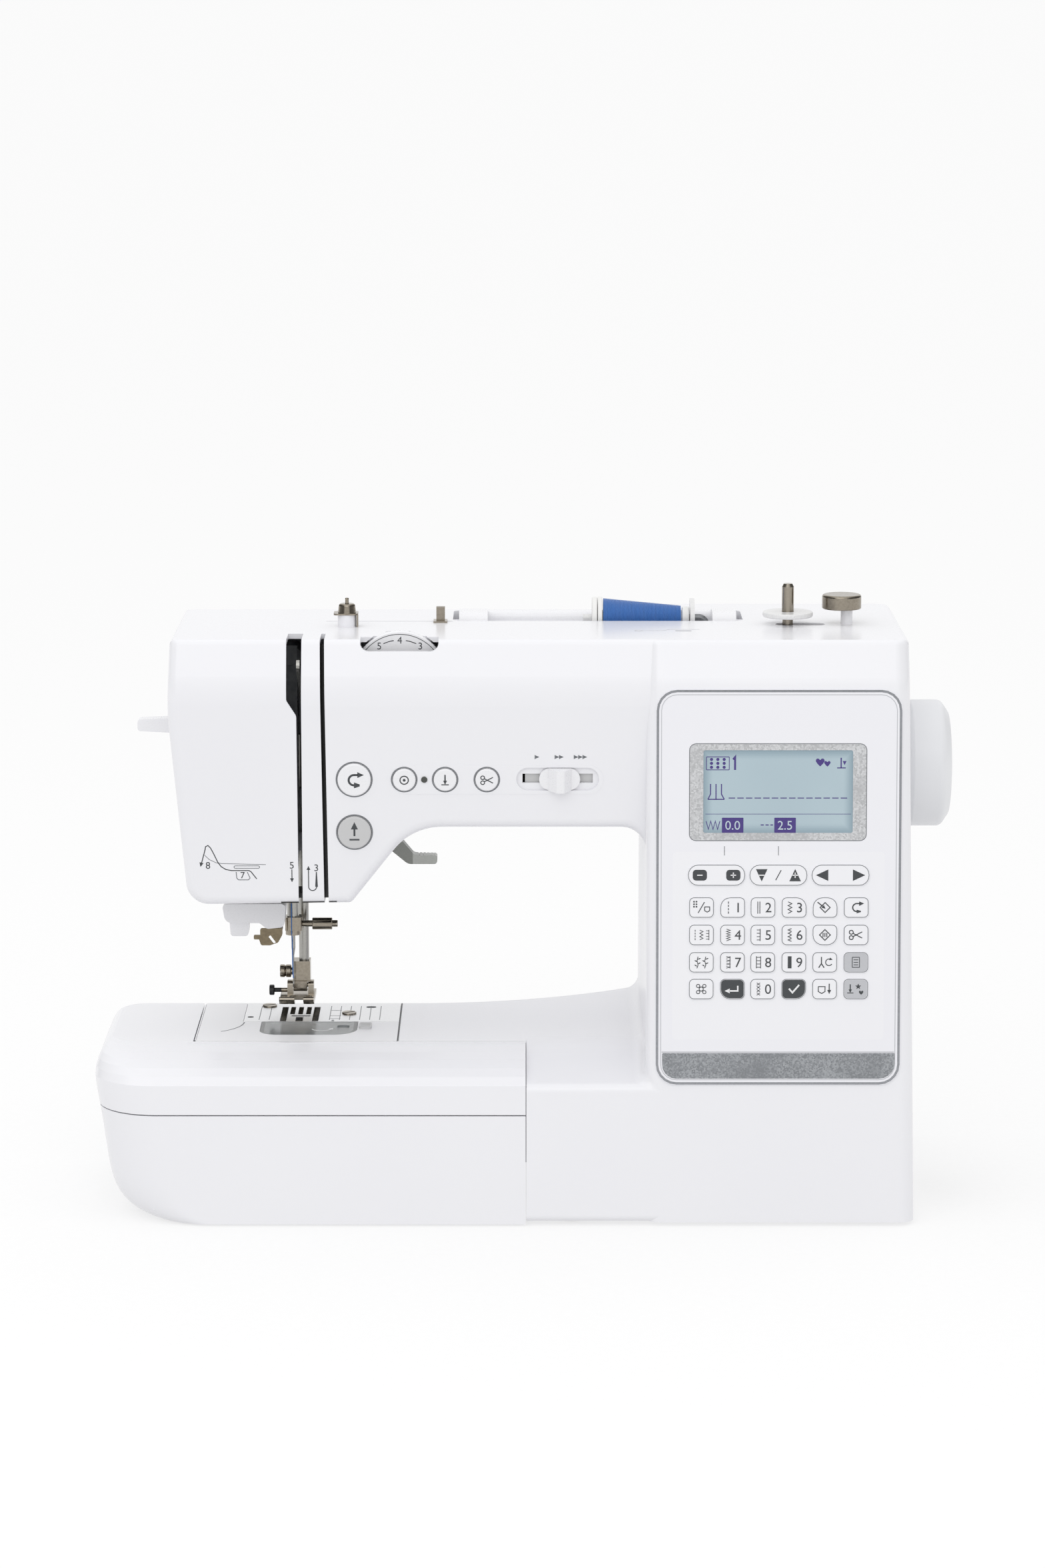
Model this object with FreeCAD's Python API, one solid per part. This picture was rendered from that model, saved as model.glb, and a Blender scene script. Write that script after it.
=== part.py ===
import FreeCAD, Part
import math
import os

V = FreeCAD.Vector

# Lengths are in millimetres. X runs along the bed to the hand wheel, Y to the back, Z up.
# The origin lies on the table top under the middle of the machine.

# Overall outline
FOOT_H = 2.0            # rubber feet under the pan
PAN_Z = 6.0             # seam between the bottom pan and the casings
BED_Z = 81.0            # top of the bed
TOP_Z = 281.0           # top of the arm
TOP_SEAM_Z = TOP_Z - 4.5  # seam between the casings and the top cover
SPLIT_Y = 12.0          # seam between the front and the rear casing
WALL = 2.5              # moulded wall
BASE_X = 0.0            # left end of the base, where the extension table ends
PILLAR_X = 57.5         # left face of the pillar
SIDE_TOP_X = 183.0      # right side at the top
SIDE_LOW_X = 187.0      # right side at the bottom
FRONT_LOW_Y = -90.0     # pillar front at the feet
FRONT_TOP_Y = -66.0     # pillar front at the top
REAR_LOW_Y = 88.0
REAR_TOP_Y = 66.0
HEAD_X = -171.8         # left end of the head
CREASE_Z = TOP_Z - 24.0  # soft crease along the arm front
CREASE_Y = -66.4
ARM_TOP_Y = -60.0
PILLAR_CREASE_Z = TOP_Z - 20.5  # the same crease on the pillar, above the panel
PILLAR_TOP_Y = -61.4
ARM_LEAN = 11.5 / 117.0  # the arm front runs under, towards the bed
ARM_REAR_Y = 46.0
ARM_LOW_Z = 189.4       # underside of the arm
HEAD_LOW_Z = 151.0      # underside of the head

# Fits
GAP = 0.3               # free gap between faces of different bodies
RUN = 0.05              # radial running fit of a turning or sliding shaft
SEAM = 0.2              # gap round a lift-out or pull-out piece

# Sewing mechanism
STITCH_X = -113.0       # middle of the needle slot and the foot
NEEDLE_X = -116.0       # needle bar, in its left stitch position
NEEDLE_Y = 8.0
PRESSER_X = -111.2
PRESSER_Y = 19.0
SHAFT_Z = 209.6         # main shaft
SHAFT_R = 6.0
LOW_SHAFT_Y = -13.0
LOW_SHAFT_Z = 36.0
LOW_SHAFT_R = 4.0
HOOK_R = 19.5
SWING_Z = TOP_Z - 19.0  # pivot of the needle bar frame

# Free arm and plates
ARM_END_X = -162.0
ARM_END_R = 3.0
FREE_FRONT_Y = -46.0
FREE_REAR_Y = 36.0
FREE_LOW_Z = 20.0
FLARE_X = -56.0         # from here the rear of the bed sweeps back to the pillar
FLARE_END_X = 69.5
FLARE_R = 183.0
PLATE_T = WALL
PLATE_X0 = -161.3
PLATE_X1 = -63.2
NEEDLE_PLATE_X0 = -140.5
NEEDLE_PLATE_Y0 = -4.4

# Control panel, measured on the leaning front of the pillar
PANEL_X0 = 62.0
PANEL_W = 117.3
PANEL_Z0 = 68.8
PANEL_H = 190.2
PANEL_R = 10.0
PANEL_PROUD = 0.8

# Front buttons: name, X, Z, radius
BUTTONS = [
    ("reverse_button", -82.5, 213.7, 8.0),
    ("reinforce_button", -58.5, 213.7, 5.5),
    ("needle_button", -38.9, 213.7, 5.5),
    ("cutter_button", -18.9, 213.7, 5.5),
    ("start_button", -82.6, 187.5, 8.0),
]
BUTTON_TRAVEL = 1.2

# Top of the machine
WELL = (-36.0, 106.5, 3.0, 40.0, TOP_Z - 12.5)   # spool and handle well: X0, X1, Y0, Y1, floor
SPOOL_Y = 15.0
SPOOL_Z = TOP_Z
PIVOT_Z = TOP_Z - 4.0   # carry handle pivot
DIAL_X = -60.6
DIAL_Z = TOP_Z - 20.0
DIAL_Y = -51.5
DIAL_R = 23.0
WINDER_X = 127.7
WINDER_Y = -8.0
WINDER_PIN_R = 2.9      # suits the 6 mm hole of a bobbin


def rounded_wire(corners, place):
    """Closed wire through corners (a, b, radius), each corner rounded by a tangent arc."""
    spans = []
    count = len(corners)
    for i, (a, b, radius) in enumerate(corners):
        corner = V(a, b, 0)
        if radius <= 0:
            spans.append((corner, None, corner))
            continue
        back = (V(corners[i - 1][0], corners[i - 1][1], 0) - corner).normalize()
        ahead = (V(corners[(i + 1) % count][0], corners[(i + 1) % count][1], 0) - corner).normalize()
        half = back.getAngle(ahead) / 2
        reach = radius / math.tan(half)
        middle = (back + ahead).normalize() * (radius / math.sin(half) - radius)
        spans.append((corner + back * reach, corner + middle, corner + ahead * reach))
    edges = []
    for i, (start, middle, end) in enumerate(spans):
        if middle is not None:
            arc = Part.Arc(place(start.x, start.y), place(middle.x, middle.y), place(end.x, end.y))
            edges.append(arc.toShape())
        following = spans[(i + 1) % count][0]
        if (following - end).Length > 1e-6:
            edges.append(Part.LineSegment(place(end.x, end.y), place(following.x, following.y)).toShape())
    return Part.Wire(edges)


def inset(corners, depth):
    """The same outline moved inwards by depth, corner radii following."""
    count = len(corners)
    area = sum(corners[i - 1][0] * corners[i][1] - corners[i][0] * corners[i - 1][1] for i in range(count))
    side = 1 if area > 0 else -1
    moved = []
    for i, (a, b, radius) in enumerate(corners):
        into = V(a - corners[i - 1][0], b - corners[i - 1][1], 0).normalize()
        out = V(corners[(i + 1) % count][0] - a, corners[(i + 1) % count][1] - b, 0).normalize()
        n_in = V(-into.y, into.x, 0) * side
        n_out = V(-out.y, out.x, 0) * side
        shift = (n_in + n_out) * (depth / (1 + n_in.dot(n_out)))
        turn = (into.x * out.y - into.y * out.x) * side
        if radius > 0:
            radius = max(radius - depth, 0) if turn > 0 else radius + depth
        moved.append((a + shift.x, b + shift.y, radius))
    return moved


def prism_x(corners, x0, x1):
    return Part.Face(rounded_wire(corners, lambda y, z: V(x0, y, z))).extrude(V(x1 - x0, 0, 0))


def prism_y(corners, y0, y1):
    return Part.Face(rounded_wire(corners, lambda x, z: V(x, y0, z))).extrude(V(0, y1 - y0, 0))


def prism_z(corners, z0, z1):
    return Part.Face(rounded_wire(corners, lambda x, y: V(x, y, z0))).extrude(V(0, 0, z1 - z0))


def rectangle(a0, a1, b0, b1, radius=0.0):
    """Corners from the lower left round to the upper left; radius is one number or a list of four."""
    r = radius if isinstance(radius, list) else [radius] * 4
    return [(a0, b0, r[0]), (a1, b0, r[1]), (a1, b1, r[2]), (a0, b1, r[3])]


def box(x0, x1, y0, y1, z0, z1):
    return Part.makeBox(x1 - x0, y1 - y0, z1 - z0, V(x0, y0, z0))


def rod(radius, start, end):
    start, end = V(*start), V(*end)
    return Part.makeCylinder(radius, (end - start).Length, start, end - start)


def cone(r0, r1, start, end):
    start, end = V(*start), V(*end)
    return Part.makeCone(r0, r1, (end - start).Length, start, end - start)


def tube(outer, inner, start, end):
    return rod(outer, start, end).cut(rod(inner, start, end))


def joined(shapes):
    return shapes[0].fuse(shapes[1:]).removeSplitter()


def turned(corners, start, along):
    """Solid of revolution from (distance along the axis, radius) corners."""
    along = V(*along).normalize()
    across = V(0, 0, 1) if abs(along.z) < 0.9 else V(1, 0, 0)
    start = V(*start)
    wire = rounded_wire(corners, lambda a, r: start + along * a + across * r)
    return Part.Face(wire).revolve(start, along, 360)


def export(name, shape):
    shape.exportStep("parts/" + name + ".step")


def face_normal(face):
    u0, u1, v0, v1 = face.ParameterRange
    return face.normalAt((u0 + u1) / 2, (v0 + v1) / 2)


def front_rim(shape):
    """Edges between the front of a shape and its sides and underside, not its top or right end."""
    found = []
    for edge in shape.Edges:
        normals = [face_normal(f) for f in shape.ancestorsOfType(edge, Part.Face)]
        if len(normals) != 2:
            continue
        front, side = sorted(normals, key=lambda n: n.y)
        if front.y < -0.9 and abs(side.y) < 0.2 and side.z < 0.9 and side.x < 0.9:
            found.append(edge)
    return found


def top_rim(shape, keep_x=None):
    """Edges of the flat top, leaving out the one at keep_x."""
    found = []
    for edge in shape.Edges:
        span = edge.BoundBox
        level = span.ZMin > TOP_Z - 0.01
        kept = keep_x is not None and abs(span.XMin - keep_x) < 0.1 and span.XLength < 0.1
        if level and not kept:
            found.append(edge)
    return found


def pillar_front_y(z):
    return FRONT_LOW_Y + (z - FOOT_H) * (FRONT_TOP_Y - FRONT_LOW_Y) / (TOP_Z - FOOT_H)


def pillar_rear_y(z):
    return REAR_LOW_Y + (z - FOOT_H) * (REAR_TOP_Y - REAR_LOW_Y) / (TOP_Z - FOOT_H)


def side_x(z):
    return SIDE_LOW_X + (z - FOOT_H) * (SIDE_TOP_X - SIDE_LOW_X) / (TOP_Z - FOOT_H)


def arm_front_y(z):
    return CREASE_Y + (CREASE_Z - z) * ARM_LEAN


# Outlines of the casing: front view (X, Z, radius) and side view (Y, Z, radius)
ARM_IN_X = PILLAR_X + 17.5
ARM_OUTLINE = [
    (HEAD_X + 1.3, TOP_Z, 0), (HEAD_X, TOP_Z - 36, 150), (-163.5, HEAD_LOW_Z - 0.5, 11),
    (-84.5, HEAD_LOW_Z + 0.5, 3), (-54.9, ARM_LOW_Z, 30), (PILLAR_X, ARM_LOW_Z, 12),
    (PILLAR_X, ARM_LOW_Z - 17.4, 0), (ARM_IN_X, ARM_LOW_Z - 17.4, 0), (ARM_IN_X, TOP_Z, 0),
]
ARM_PROFILE = [
    (ARM_TOP_Y, TOP_Z, 0), (CREASE_Y, CREASE_Z, 40), (arm_front_y(140.0), 140.0, 0),
    (ARM_REAR_Y - 6, 140.0, 0), (ARM_REAR_Y + 2, TOP_Z - 16, 40), (ARM_REAR_Y, TOP_Z, 0),
]
PILLAR_OUTLINE = [
    (PILLAR_X, FOOT_H, 0), (PILLAR_X, TOP_Z, 0), (SIDE_TOP_X, TOP_Z, 0), (SIDE_LOW_X, FOOT_H, 0),
]
PILLAR_PROFILE = [
    (FRONT_LOW_Y, FOOT_H, 0), (pillar_front_y(PILLAR_CREASE_Z), PILLAR_CREASE_Z, 30), (PILLAR_TOP_Y, TOP_Z, 0),
    (REAR_TOP_Y, TOP_Z, 0), (REAR_LOW_Y, FOOT_H, 0),
]
PLAIN_PROFILE = [PILLAR_PROFILE[0], (FRONT_TOP_Y, TOP_Z, 0)] + PILLAR_PROFILE[3:]
SLOPE_Z = 68.0          # where the base front turns into the slope of the bed
BASE_OUTLINE = rectangle(BASE_X, ARM_IN_X, FOOT_H, BED_Z)
BASE_PROFILE = [
    (FRONT_LOW_Y, FOOT_H, 3), (pillar_front_y(SLOPE_Z), SLOPE_Z, 5), (FREE_FRONT_Y - 1, BED_Z, 60),
    (pillar_rear_y(BED_Z), BED_Z, 6), (REAR_LOW_Y, FOOT_H, 3),
]


def crossed(outline, profile, depth=0.0):
    """Solid with a front outline and a side profile, both moved in by depth."""
    if depth:
        outline, profile = inset(outline, depth), inset(profile, depth)
    return prism_y(outline, -120, 120).common(prism_x(profile, -220, 220))


def bed_plan(left_x, left_r, front_y):
    """Plan of the bed from its left end, the rear edge sweeping back to the pillar in one arc."""
    turn = math.asin((FLARE_END_X - FLARE_X) / FLARE_R)
    reach = FLARE_R * math.tan(turn / 2)
    corner_x = FLARE_X + reach
    end_x = corner_x + 1.3 * reach * math.cos(turn)
    end_y = FREE_REAR_Y + 1.3 * reach * math.sin(turn)
    return [(left_x, front_y, left_r), (end_x, front_y, 0), (end_x, end_y, 0),
            (corner_x, FREE_REAR_Y, FLARE_R), (left_x, FREE_REAR_Y, left_r)]


def behind_bed(depth=0.0):
    """Space behind the sweeping rear edge of the bed, up to the pillar, grown by depth."""
    plan = inset(bed_plan(BASE_X - 100, 0, FRONT_LOW_Y - 30), depth)
    space = box(BASE_X - 10, PILLAR_X + depth, FREE_REAR_Y - 10, REAR_LOW_Y + 20, FOOT_H - 10, BED_Z + 10)
    return space.cut(prism_z(plan, FOOT_H - 20, BED_Z + 20))


def pillar_block(profile):
    """Pillar with its four upright edges rounded."""
    block = crossed(PILLAR_OUTLINE, profile)
    return block.makeFillet(7.0, [e for e in block.Edges if e.BoundBox.ZLength > 200])


def casing_shell():
    """Whole hard shell of arm, pillar and base as one hollow solid."""
    arm = crossed(ARM_OUTLINE, ARM_PROFILE)
    arm = arm.makeFillet(5.0, front_rim(arm))
    arm = arm.makeFillet(3.0, top_rim(arm, ARM_IN_X))
    pillar = pillar_block(PILLAR_PROFILE)
    pillar = pillar.makeFillet(3.0, top_rim(pillar))
    low = joined([pillar_block(PLAIN_PROFILE), crossed(BASE_OUTLINE, BASE_PROFILE)])
    corner = [e for e in low.Edges
              if abs(e.BoundBox.XMin - PILLAR_X) < 0.3 and e.BoundBox.XLength < 0.3
              and abs(e.CenterOfMass.z - BED_Z) < 1.0]
    low = low.makeFillet(6.0, corner).cut(behind_bed())
    join_z = BED_Z + 40
    big = 400
    low = low.common(box(-big, big, -big, big, -big, join_z))
    pillar = pillar.common(box(-big, big, -big, big, join_z, big))
    outside = joined([arm, pillar, low])
    inside = joined([crossed(ARM_OUTLINE, ARM_PROFILE, WALL),
                     crossed(PILLAR_OUTLINE, PILLAR_PROFILE, WALL),
                     crossed(BASE_OUTLINE, BASE_PROFILE, WALL).cut(behind_bed(WALL)),
                     box(ARM_IN_X - 20, ARM_IN_X + 2, -40, 38, ARM_LOW_Z + 4, TOP_Z - 4),
                     box(ARM_IN_X - 20, ARM_IN_X + 2, -60, 50, FOOT_H + 4, BED_Z - 4)])
    return outside.cut(inside)


# Thread slots in the head
SLOT_TOP = TOP_Z + 9
SLOT_STEP = [(-109.9, TOP_Z - 36, 3), (-114.6, TOP_Z - 28.5, 3)]   # the left slot widens upwards here
LEFT_SLOT = [(-114.6, SLOT_TOP, 0), (-107.3, SLOT_TOP, 0), (-108.0, 140, 0), (-109.9, 140, 0)] + SLOT_STEP
RIGHT_SLOT = [(-98.7, SLOT_TOP, 0), (-96.6, SLOT_TOP, 0), (-95.3, 140, 0), (-97.4, 140, 0)]
SLOT_BACK_Y = -40.0


def slot_cut(corners):
    return prism_y(corners, -80, SLOT_BACK_Y)


def on_panel(u0, u1, v0, v1, back, proud, radius=0.0):
    """Plate on the panel plane: u from the panel's left edge, v up the slope from its lower edge."""
    plate = prism_y(rectangle(u0, u1, v0, v1, radius), -proud, back)
    lean = math.degrees(math.atan2(FRONT_TOP_Y - FRONT_LOW_Y, TOP_Z - FOOT_H))
    plate.rotate(V(0, 0, 0), V(1, 0, 0), -lean)
    plate.translate(V(PANEL_X0, pillar_front_y(PANEL_Z0), PANEL_Z0))
    return plate


def on_arm(x, z, shape):
    """Move a shape built round the origin, front towards -Y, onto the leaning arm front."""
    shape.rotate(V(0, 0, 0), V(1, 0, 0), math.degrees(math.atan(ARM_LEAN)))
    shape.translate(V(x, arm_front_y(z), z))
    return shape


def button_hole(x, z, radius):
    return on_arm(x, z, rod(radius + GAP, (0, -12, 0), (0, 12, 0)))


def button(radius):
    cap = turned([(-1.4, 0, 0), (-1.4, radius, 0.8), (WALL + 0.4, radius, 0), (WALL + 0.4, radius + 1.4, 0),
                  (WALL + 1.6, radius + 1.4, 0), (WALL + 1.6, 0, 0)], (0, 0, 0), (0, 1, 0))
    return cap


SLIDER_X0, SLIDER_X1 = -4.8, 34.9
SLIDER_Z0, SLIDER_Z1 = 208.2, 219.6
SLIDER_MID_Z = (SLIDER_Z0 + SLIDER_Z1) / 2
SLIDER_KNOB = 19.6      # width of the oval under the grip
SLIDER_GRIP = 11.0      # width of the grip at its foot
SLIDER_PROUD = 6.5      # how far the grip stands out
SLIDER_REST_X = 16.0
SLIDER_RECESS = 1.4
PAD_X0, PAD_X1 = -64.5, 37.0   # slightly raised pad round the small buttons and the slider
PAD_Z0, PAD_Z1 = 206.4, 220.8
PAD_PROUD = 0.2


def slider_cut():
    length = SLIDER_X1 - SLIDER_X0
    high = SLIDER_Z1 - SLIDER_Z0
    recess = prism_y(rectangle(-length / 2, length / 2, -high / 2, high / 2, high / 2 - 0.01), -10, SLIDER_RECESS)
    slit = prism_y(rectangle(-length / 2 + 3, length / 2 - 3, -2.3, 2.3), -10, 10)
    return on_arm((SLIDER_X0 + SLIDER_X1) / 2, SLIDER_MID_Z, recess.fuse(slit))


def speed_slider():
    half = SLIDER_KNOB / 2
    high = (SLIDER_Z1 - SLIDER_Z0) / 2 - GAP
    wide = SLIDER_GRIP / 2
    knob = prism_y(rectangle(-half, half, -high, high, high - 0.01), -0.6, SLIDER_RECESS - GAP)
    grip = prism_z([(-wide, 0, 0), (-wide, -1.2, 0.8), (-1.2, -SLIDER_PROUD, 1.5), (2.2, -SLIDER_PROUD, 1.5),
                    (wide, -1.2, 0.8), (wide, 0, 0)], -high, high)
    stem = box(-3, 3, 0, WALL + 3, -2, 2)
    foot = box(-5, 5, WALL + GAP, WALL + 3, -5, 5)
    return on_arm(SLIDER_REST_X, SLIDER_MID_Z, joined([knob, grip, stem, foot]))


def button_pad():
    """Raised pad on the arm front that holds the small buttons and the speed slider."""
    half = (PAD_X1 - PAD_X0) / 2
    high = (PAD_Z1 - PAD_Z0) / 2
    pad = prism_y(rectangle(-half, half, -high, high, high - 0.01), -PAD_PROUD, WALL / 2)
    return on_arm((PAD_X0 + PAD_X1) / 2, (PAD_Z0 + PAD_Z1) / 2, pad)


# Extension table: left X, front Y, rear Y and corner radius at rising heights
TABLE_RIGHT_X = BASE_X - GAP
TABLE_LEVELS = [
    (1.0, -183.0), (3.0, -188.5), (6.5, -194.0), (11.0, -198.0), (17.0, -201.0), (26.0, -203.2),
    (38.0, -205.0), (52.0, -207.2), (61.0, -208.8), (SLOPE_Z, -209.6),
]
TABLE_TOP_LEVELS = [
    (SLOPE_Z, -209.6, 0.0), (71.5, -209.3, 4.5), (74.5, -208.4, 10.0), (77.0, -207.2, 16.5),
    (79.0, -205.9, 24.0), (80.4, -204.4, 32.0), (BED_Z, -203.0, 38.0),
]
TABLE_CORNER_R = 30.0


def table_ring(z, left, back, depth):
    """Plan outline of the table at one height, set back from the front plane and moved in by depth."""
    front = pillar_front_y(min(z, SLOPE_Z)) + back + depth
    rear = FREE_REAR_Y - depth
    radius = TABLE_CORNER_R - depth - 0.4 * back
    corners = [(left + depth, front, radius), (TABLE_RIGHT_X - depth, front, 0),
               (TABLE_RIGHT_X - depth, rear, 0), (left + depth, rear, 12.0 - depth)]
    return rounded_wire(corners, lambda x, y: V(x, y, z))


def table_form(depth):
    lower = [table_ring(z, left, 0.0, depth) for z, left in TABLE_LEVELS]
    squeeze = 1 - depth / (BED_Z - SLOPE_Z)
    upper = [table_ring(SLOPE_Z + (z - SLOPE_Z) * squeeze, left, back, depth)
             for z, left, back in TABLE_TOP_LEVELS]
    return joined([Part.makeLoft(lower, True, False), Part.makeLoft(upper, True, True)])


def build_table():
    """Extension table round the free arm, and the accessory drawer in its front."""
    shell = table_form(0.0).cut(table_form(WALL))
    channel_front = FREE_FRONT_Y - 2 * GAP
    channel_left = ARM_END_X - 2 * GAP
    collar = box(channel_left - WALL, TABLE_RIGHT_X, channel_front - WALL, FREE_REAR_Y, 1.0, BED_Z)
    channel = box(channel_left, 10, channel_front, FREE_REAR_Y + 10, -10, BED_Z + 10)
    table = joined([shell, collar]).cut(channel)
    front_y = FRONT_LOW_Y - 10
    drawer_z = 53.4
    drawer_back = -62.0
    front_zone = box(-230, 20, front_y, drawer_back, -5, drawer_z)
    gap_zone = box(-230, 20, front_y, drawer_back + SEAM * 2, -5, drawer_z + SEAM * 3)
    drawer_front = table.common(front_zone)
    tray_x0, tray_x1 = -180.0, TABLE_RIGHT_X - WALL - 2.0
    tray_y1 = channel_front - WALL - 1.0
    tray = box(tray_x0, tray_x1, pillar_front_y(20) + WALL, tray_y1, 7.0, 47.0)
    tray = tray.cut(box(tray_x0 + 2, tray_x1 - 2, pillar_front_y(47) + 6.0, tray_y1 - 2, 9.0, 60.0))
    lean_cut = prism_x([(-120, -10, 0), (pillar_front_y(-10) + 1.0, -10, 0),
                        (pillar_front_y(60) + 1.0, 60, 0), (-120, 60, 0)], -230, 20)
    tray = tray.cut(lean_cut)
    drawer = joined([drawer_front, tray])
    runners = [box(-150, -140, tray_y1 - 24, channel_front - WALL, 4.6, 7.0 - RUN * 2),
               box(-40, -30, tray_y1 - 24, channel_front - WALL, 4.6, 7.0 - RUN * 2)]
    table = joined([table.cut(gap_zone)] + runners)
    export("flat_bed_table", table)
    export("accessory_drawer", drawer)


def build_casings():
    """Casings, pan, covers and the fixed openings cut through them."""
    shell = casing_shell().fuse(button_pad())
    head_opening = box(-157, -92, -24, 34, HEAD_LOW_Z - 10, HEAD_LOW_Z + 8)
    threader_slot = box(HEAD_X - 5, HEAD_X + 8, -5.0, 5.0, 190.0, 238.0)
    lever_slot = box(LEVER_X - 9, LEVER_X + 29, PRESSER_Y - 0.5, PRESSER_Y + 11, LEVER_Z - 38, LEVER_Z + 16)
    wheel_hole = rod(14.0, (160, NEEDLE_Y, SHAFT_Z), (200, NEEDLE_Y, SHAFT_Z))
    socket_hole = box(SOCKET_X - 3, SOCKET_X + 9, SOCKET_Y0, SOCKET_Y1, SOCKET_Z0, SOCKET_Z1)
    panel_hole = on_panel(0.6, PANEL_W - 0.6, 0.6, PANEL_H - 0.6, 12, 5, PANEL_R - 0.6)
    panel_seat = on_panel(0, PANEL_W, 0, PANEL_H, 1.2, 5, PANEL_R)
    arm_door = box(BASE_X - 1, BASE_X + WALL + 1, FREE_FRONT_Y + WALL, FREE_REAR_Y - WALL,
                   FREE_LOW_Z + WALL, BED_Z - WALL)
    dial_recess = prism_y([(DIAL_X - 18.7, TOP_Z - 5.5, 4), (DIAL_X + 18.7, TOP_Z - 5.5, 4),
                           (DIAL_X + 18.7, TOP_Z + 20, 0), (DIAL_X - 18.7, TOP_Z + 20, 0)], -80, DIAL_Y + 0.6)
    dial_slot = rod(DIAL_R + 0.8, (DIAL_X, DIAL_Y - GAP, DIAL_Z), (DIAL_X, DIAL_Y + 4 + GAP, DIAL_Z))
    shell = shell.cut([head_opening, threader_slot, lever_slot, wheel_hole, socket_hole, panel_hole,
                       panel_seat, arm_door, dial_recess, dial_slot, slider_cut()]
                      + [button_hole(x, z, r) for _, x, z, r in BUTTONS])
    shell = shell.cut([slot_cut(LEFT_SLOT), slot_cut(RIGHT_SLOT)])
    big = 300
    pan_zone = box(-big, big, -big, big, -10, PAN_Z)
    top_zone = box(-big, big, -big, big, TOP_SEAM_Z, 400)
    front_zone = box(-big, big, -big, SPLIT_Y, PAN_Z, TOP_SEAM_Z)
    rear_zone = box(-big, big, SPLIT_Y, big, PAN_Z, TOP_SEAM_Z)
    left_zone = prism_y([(-big, big, 0), (-114.6, big, 0)] + SLOT_STEP[::-1]
                        + [(-109.9, 100, 0), (-big, 100, 0)], -big, SPLIT_Y)
    front = shell.common(front_zone)
    face = front.common(left_zone)
    front = front.cut(left_zone)
    channel = joined([box(-107.2, -105.2, -66, -44, HEAD_LOW_Z + 1, TOP_SEAM_Z),
                      box(-94, -92, -66, -44, HEAD_LOW_Z + 1, TOP_SEAM_Z),
                      box(-107.2, -92, -46, -44, HEAD_LOW_Z + 1, TOP_SEAM_Z)])
    channel = channel.common(crossed(ARM_OUTLINE, ARM_PROFILE, WALL))
    front = joined([front, channel])
    export("front_casing", front)
    export("face_cover", face)
    export("rear_casing", shell.common(rear_zone))
    export("base_pan", shell.common(pan_zone))
    build_top_cover(shell.common(top_zone))


def build_top_cover(plain):
    x0, x1, y0, y1, floor = WELL
    pocket = box(x0 - 2, x1 + 2, y0 - 2, y1 + 2, floor - 2, TOP_Z - 1)
    hollow = prism_z(rectangle(x0, x1, y0, y1, 5.0), floor, TOP_Z + 20)
    pins = [rod(3.0, (x0 - 1, SPOOL_Y, PIVOT_Z), (x0 + 7, SPOOL_Y, PIVOT_Z)),
            rod(3.0, (x1 + 1, SPOOL_Y, PIVOT_Z), (x1 - 7, SPOOL_Y, PIVOT_Z))]
    rails = [box(WINDER_X - 15, WINDER_X + 22, WINDER_Y - 10.5, WINDER_Y - 8 - GAP, TOP_Z - 13, TOP_Z - 1),
             box(WINDER_X - 15, WINDER_X + 22, WINDER_Y + 8 + GAP, WINDER_Y + 10.5, TOP_Z - 13, TOP_Z - 1)]
    slot = prism_z(rectangle(WINDER_X - 5.9, WINDER_X + 18.2, WINDER_Y - 3.6, WINDER_Y + 3.6, 3.5),
                   TOP_Z - 8, TOP_Z + 5)
    posts = [rod(2.9, (STOP_X + 2.5, STOP_Y, TOP_Z - 1), (STOP_X + 2.5, STOP_Y, STOP_Z)),
             rod(4.5, (GUIDE_X, GUIDE_Y, TOP_Z - 1), (GUIDE_X, GUIDE_Y, GUIDE_Z))]
    cover = joined([plain, pocket] + rails + posts).cut([hollow, slot])
    export("top_cover", joined([cover] + pins))


SOCKET_Y0, SOCKET_Y1 = -48.0, 8.0
SOCKET_Z0, SOCKET_Z1 = 16.0, 54.0
SWITCH_Y, SWITCH_Z = -37.0, 35.0
SOCKET_X = side_x(SWITCH_Z) - 3.5   # pivot of the rocker, just inside the right wall
STOP_X, STOP_Y, STOP_Z = 154.1, -6.0, TOP_Z + 7.5
GUIDE_X, GUIDE_Y, GUIDE_Z = -87.2, -15.0, TOP_Z + 6.0
INLET_Y, INLET_Z = -14.0, 38.0
JACK_Y, JACK_Z = -1.0, 24.0
JACK_R = 3.2


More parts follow.
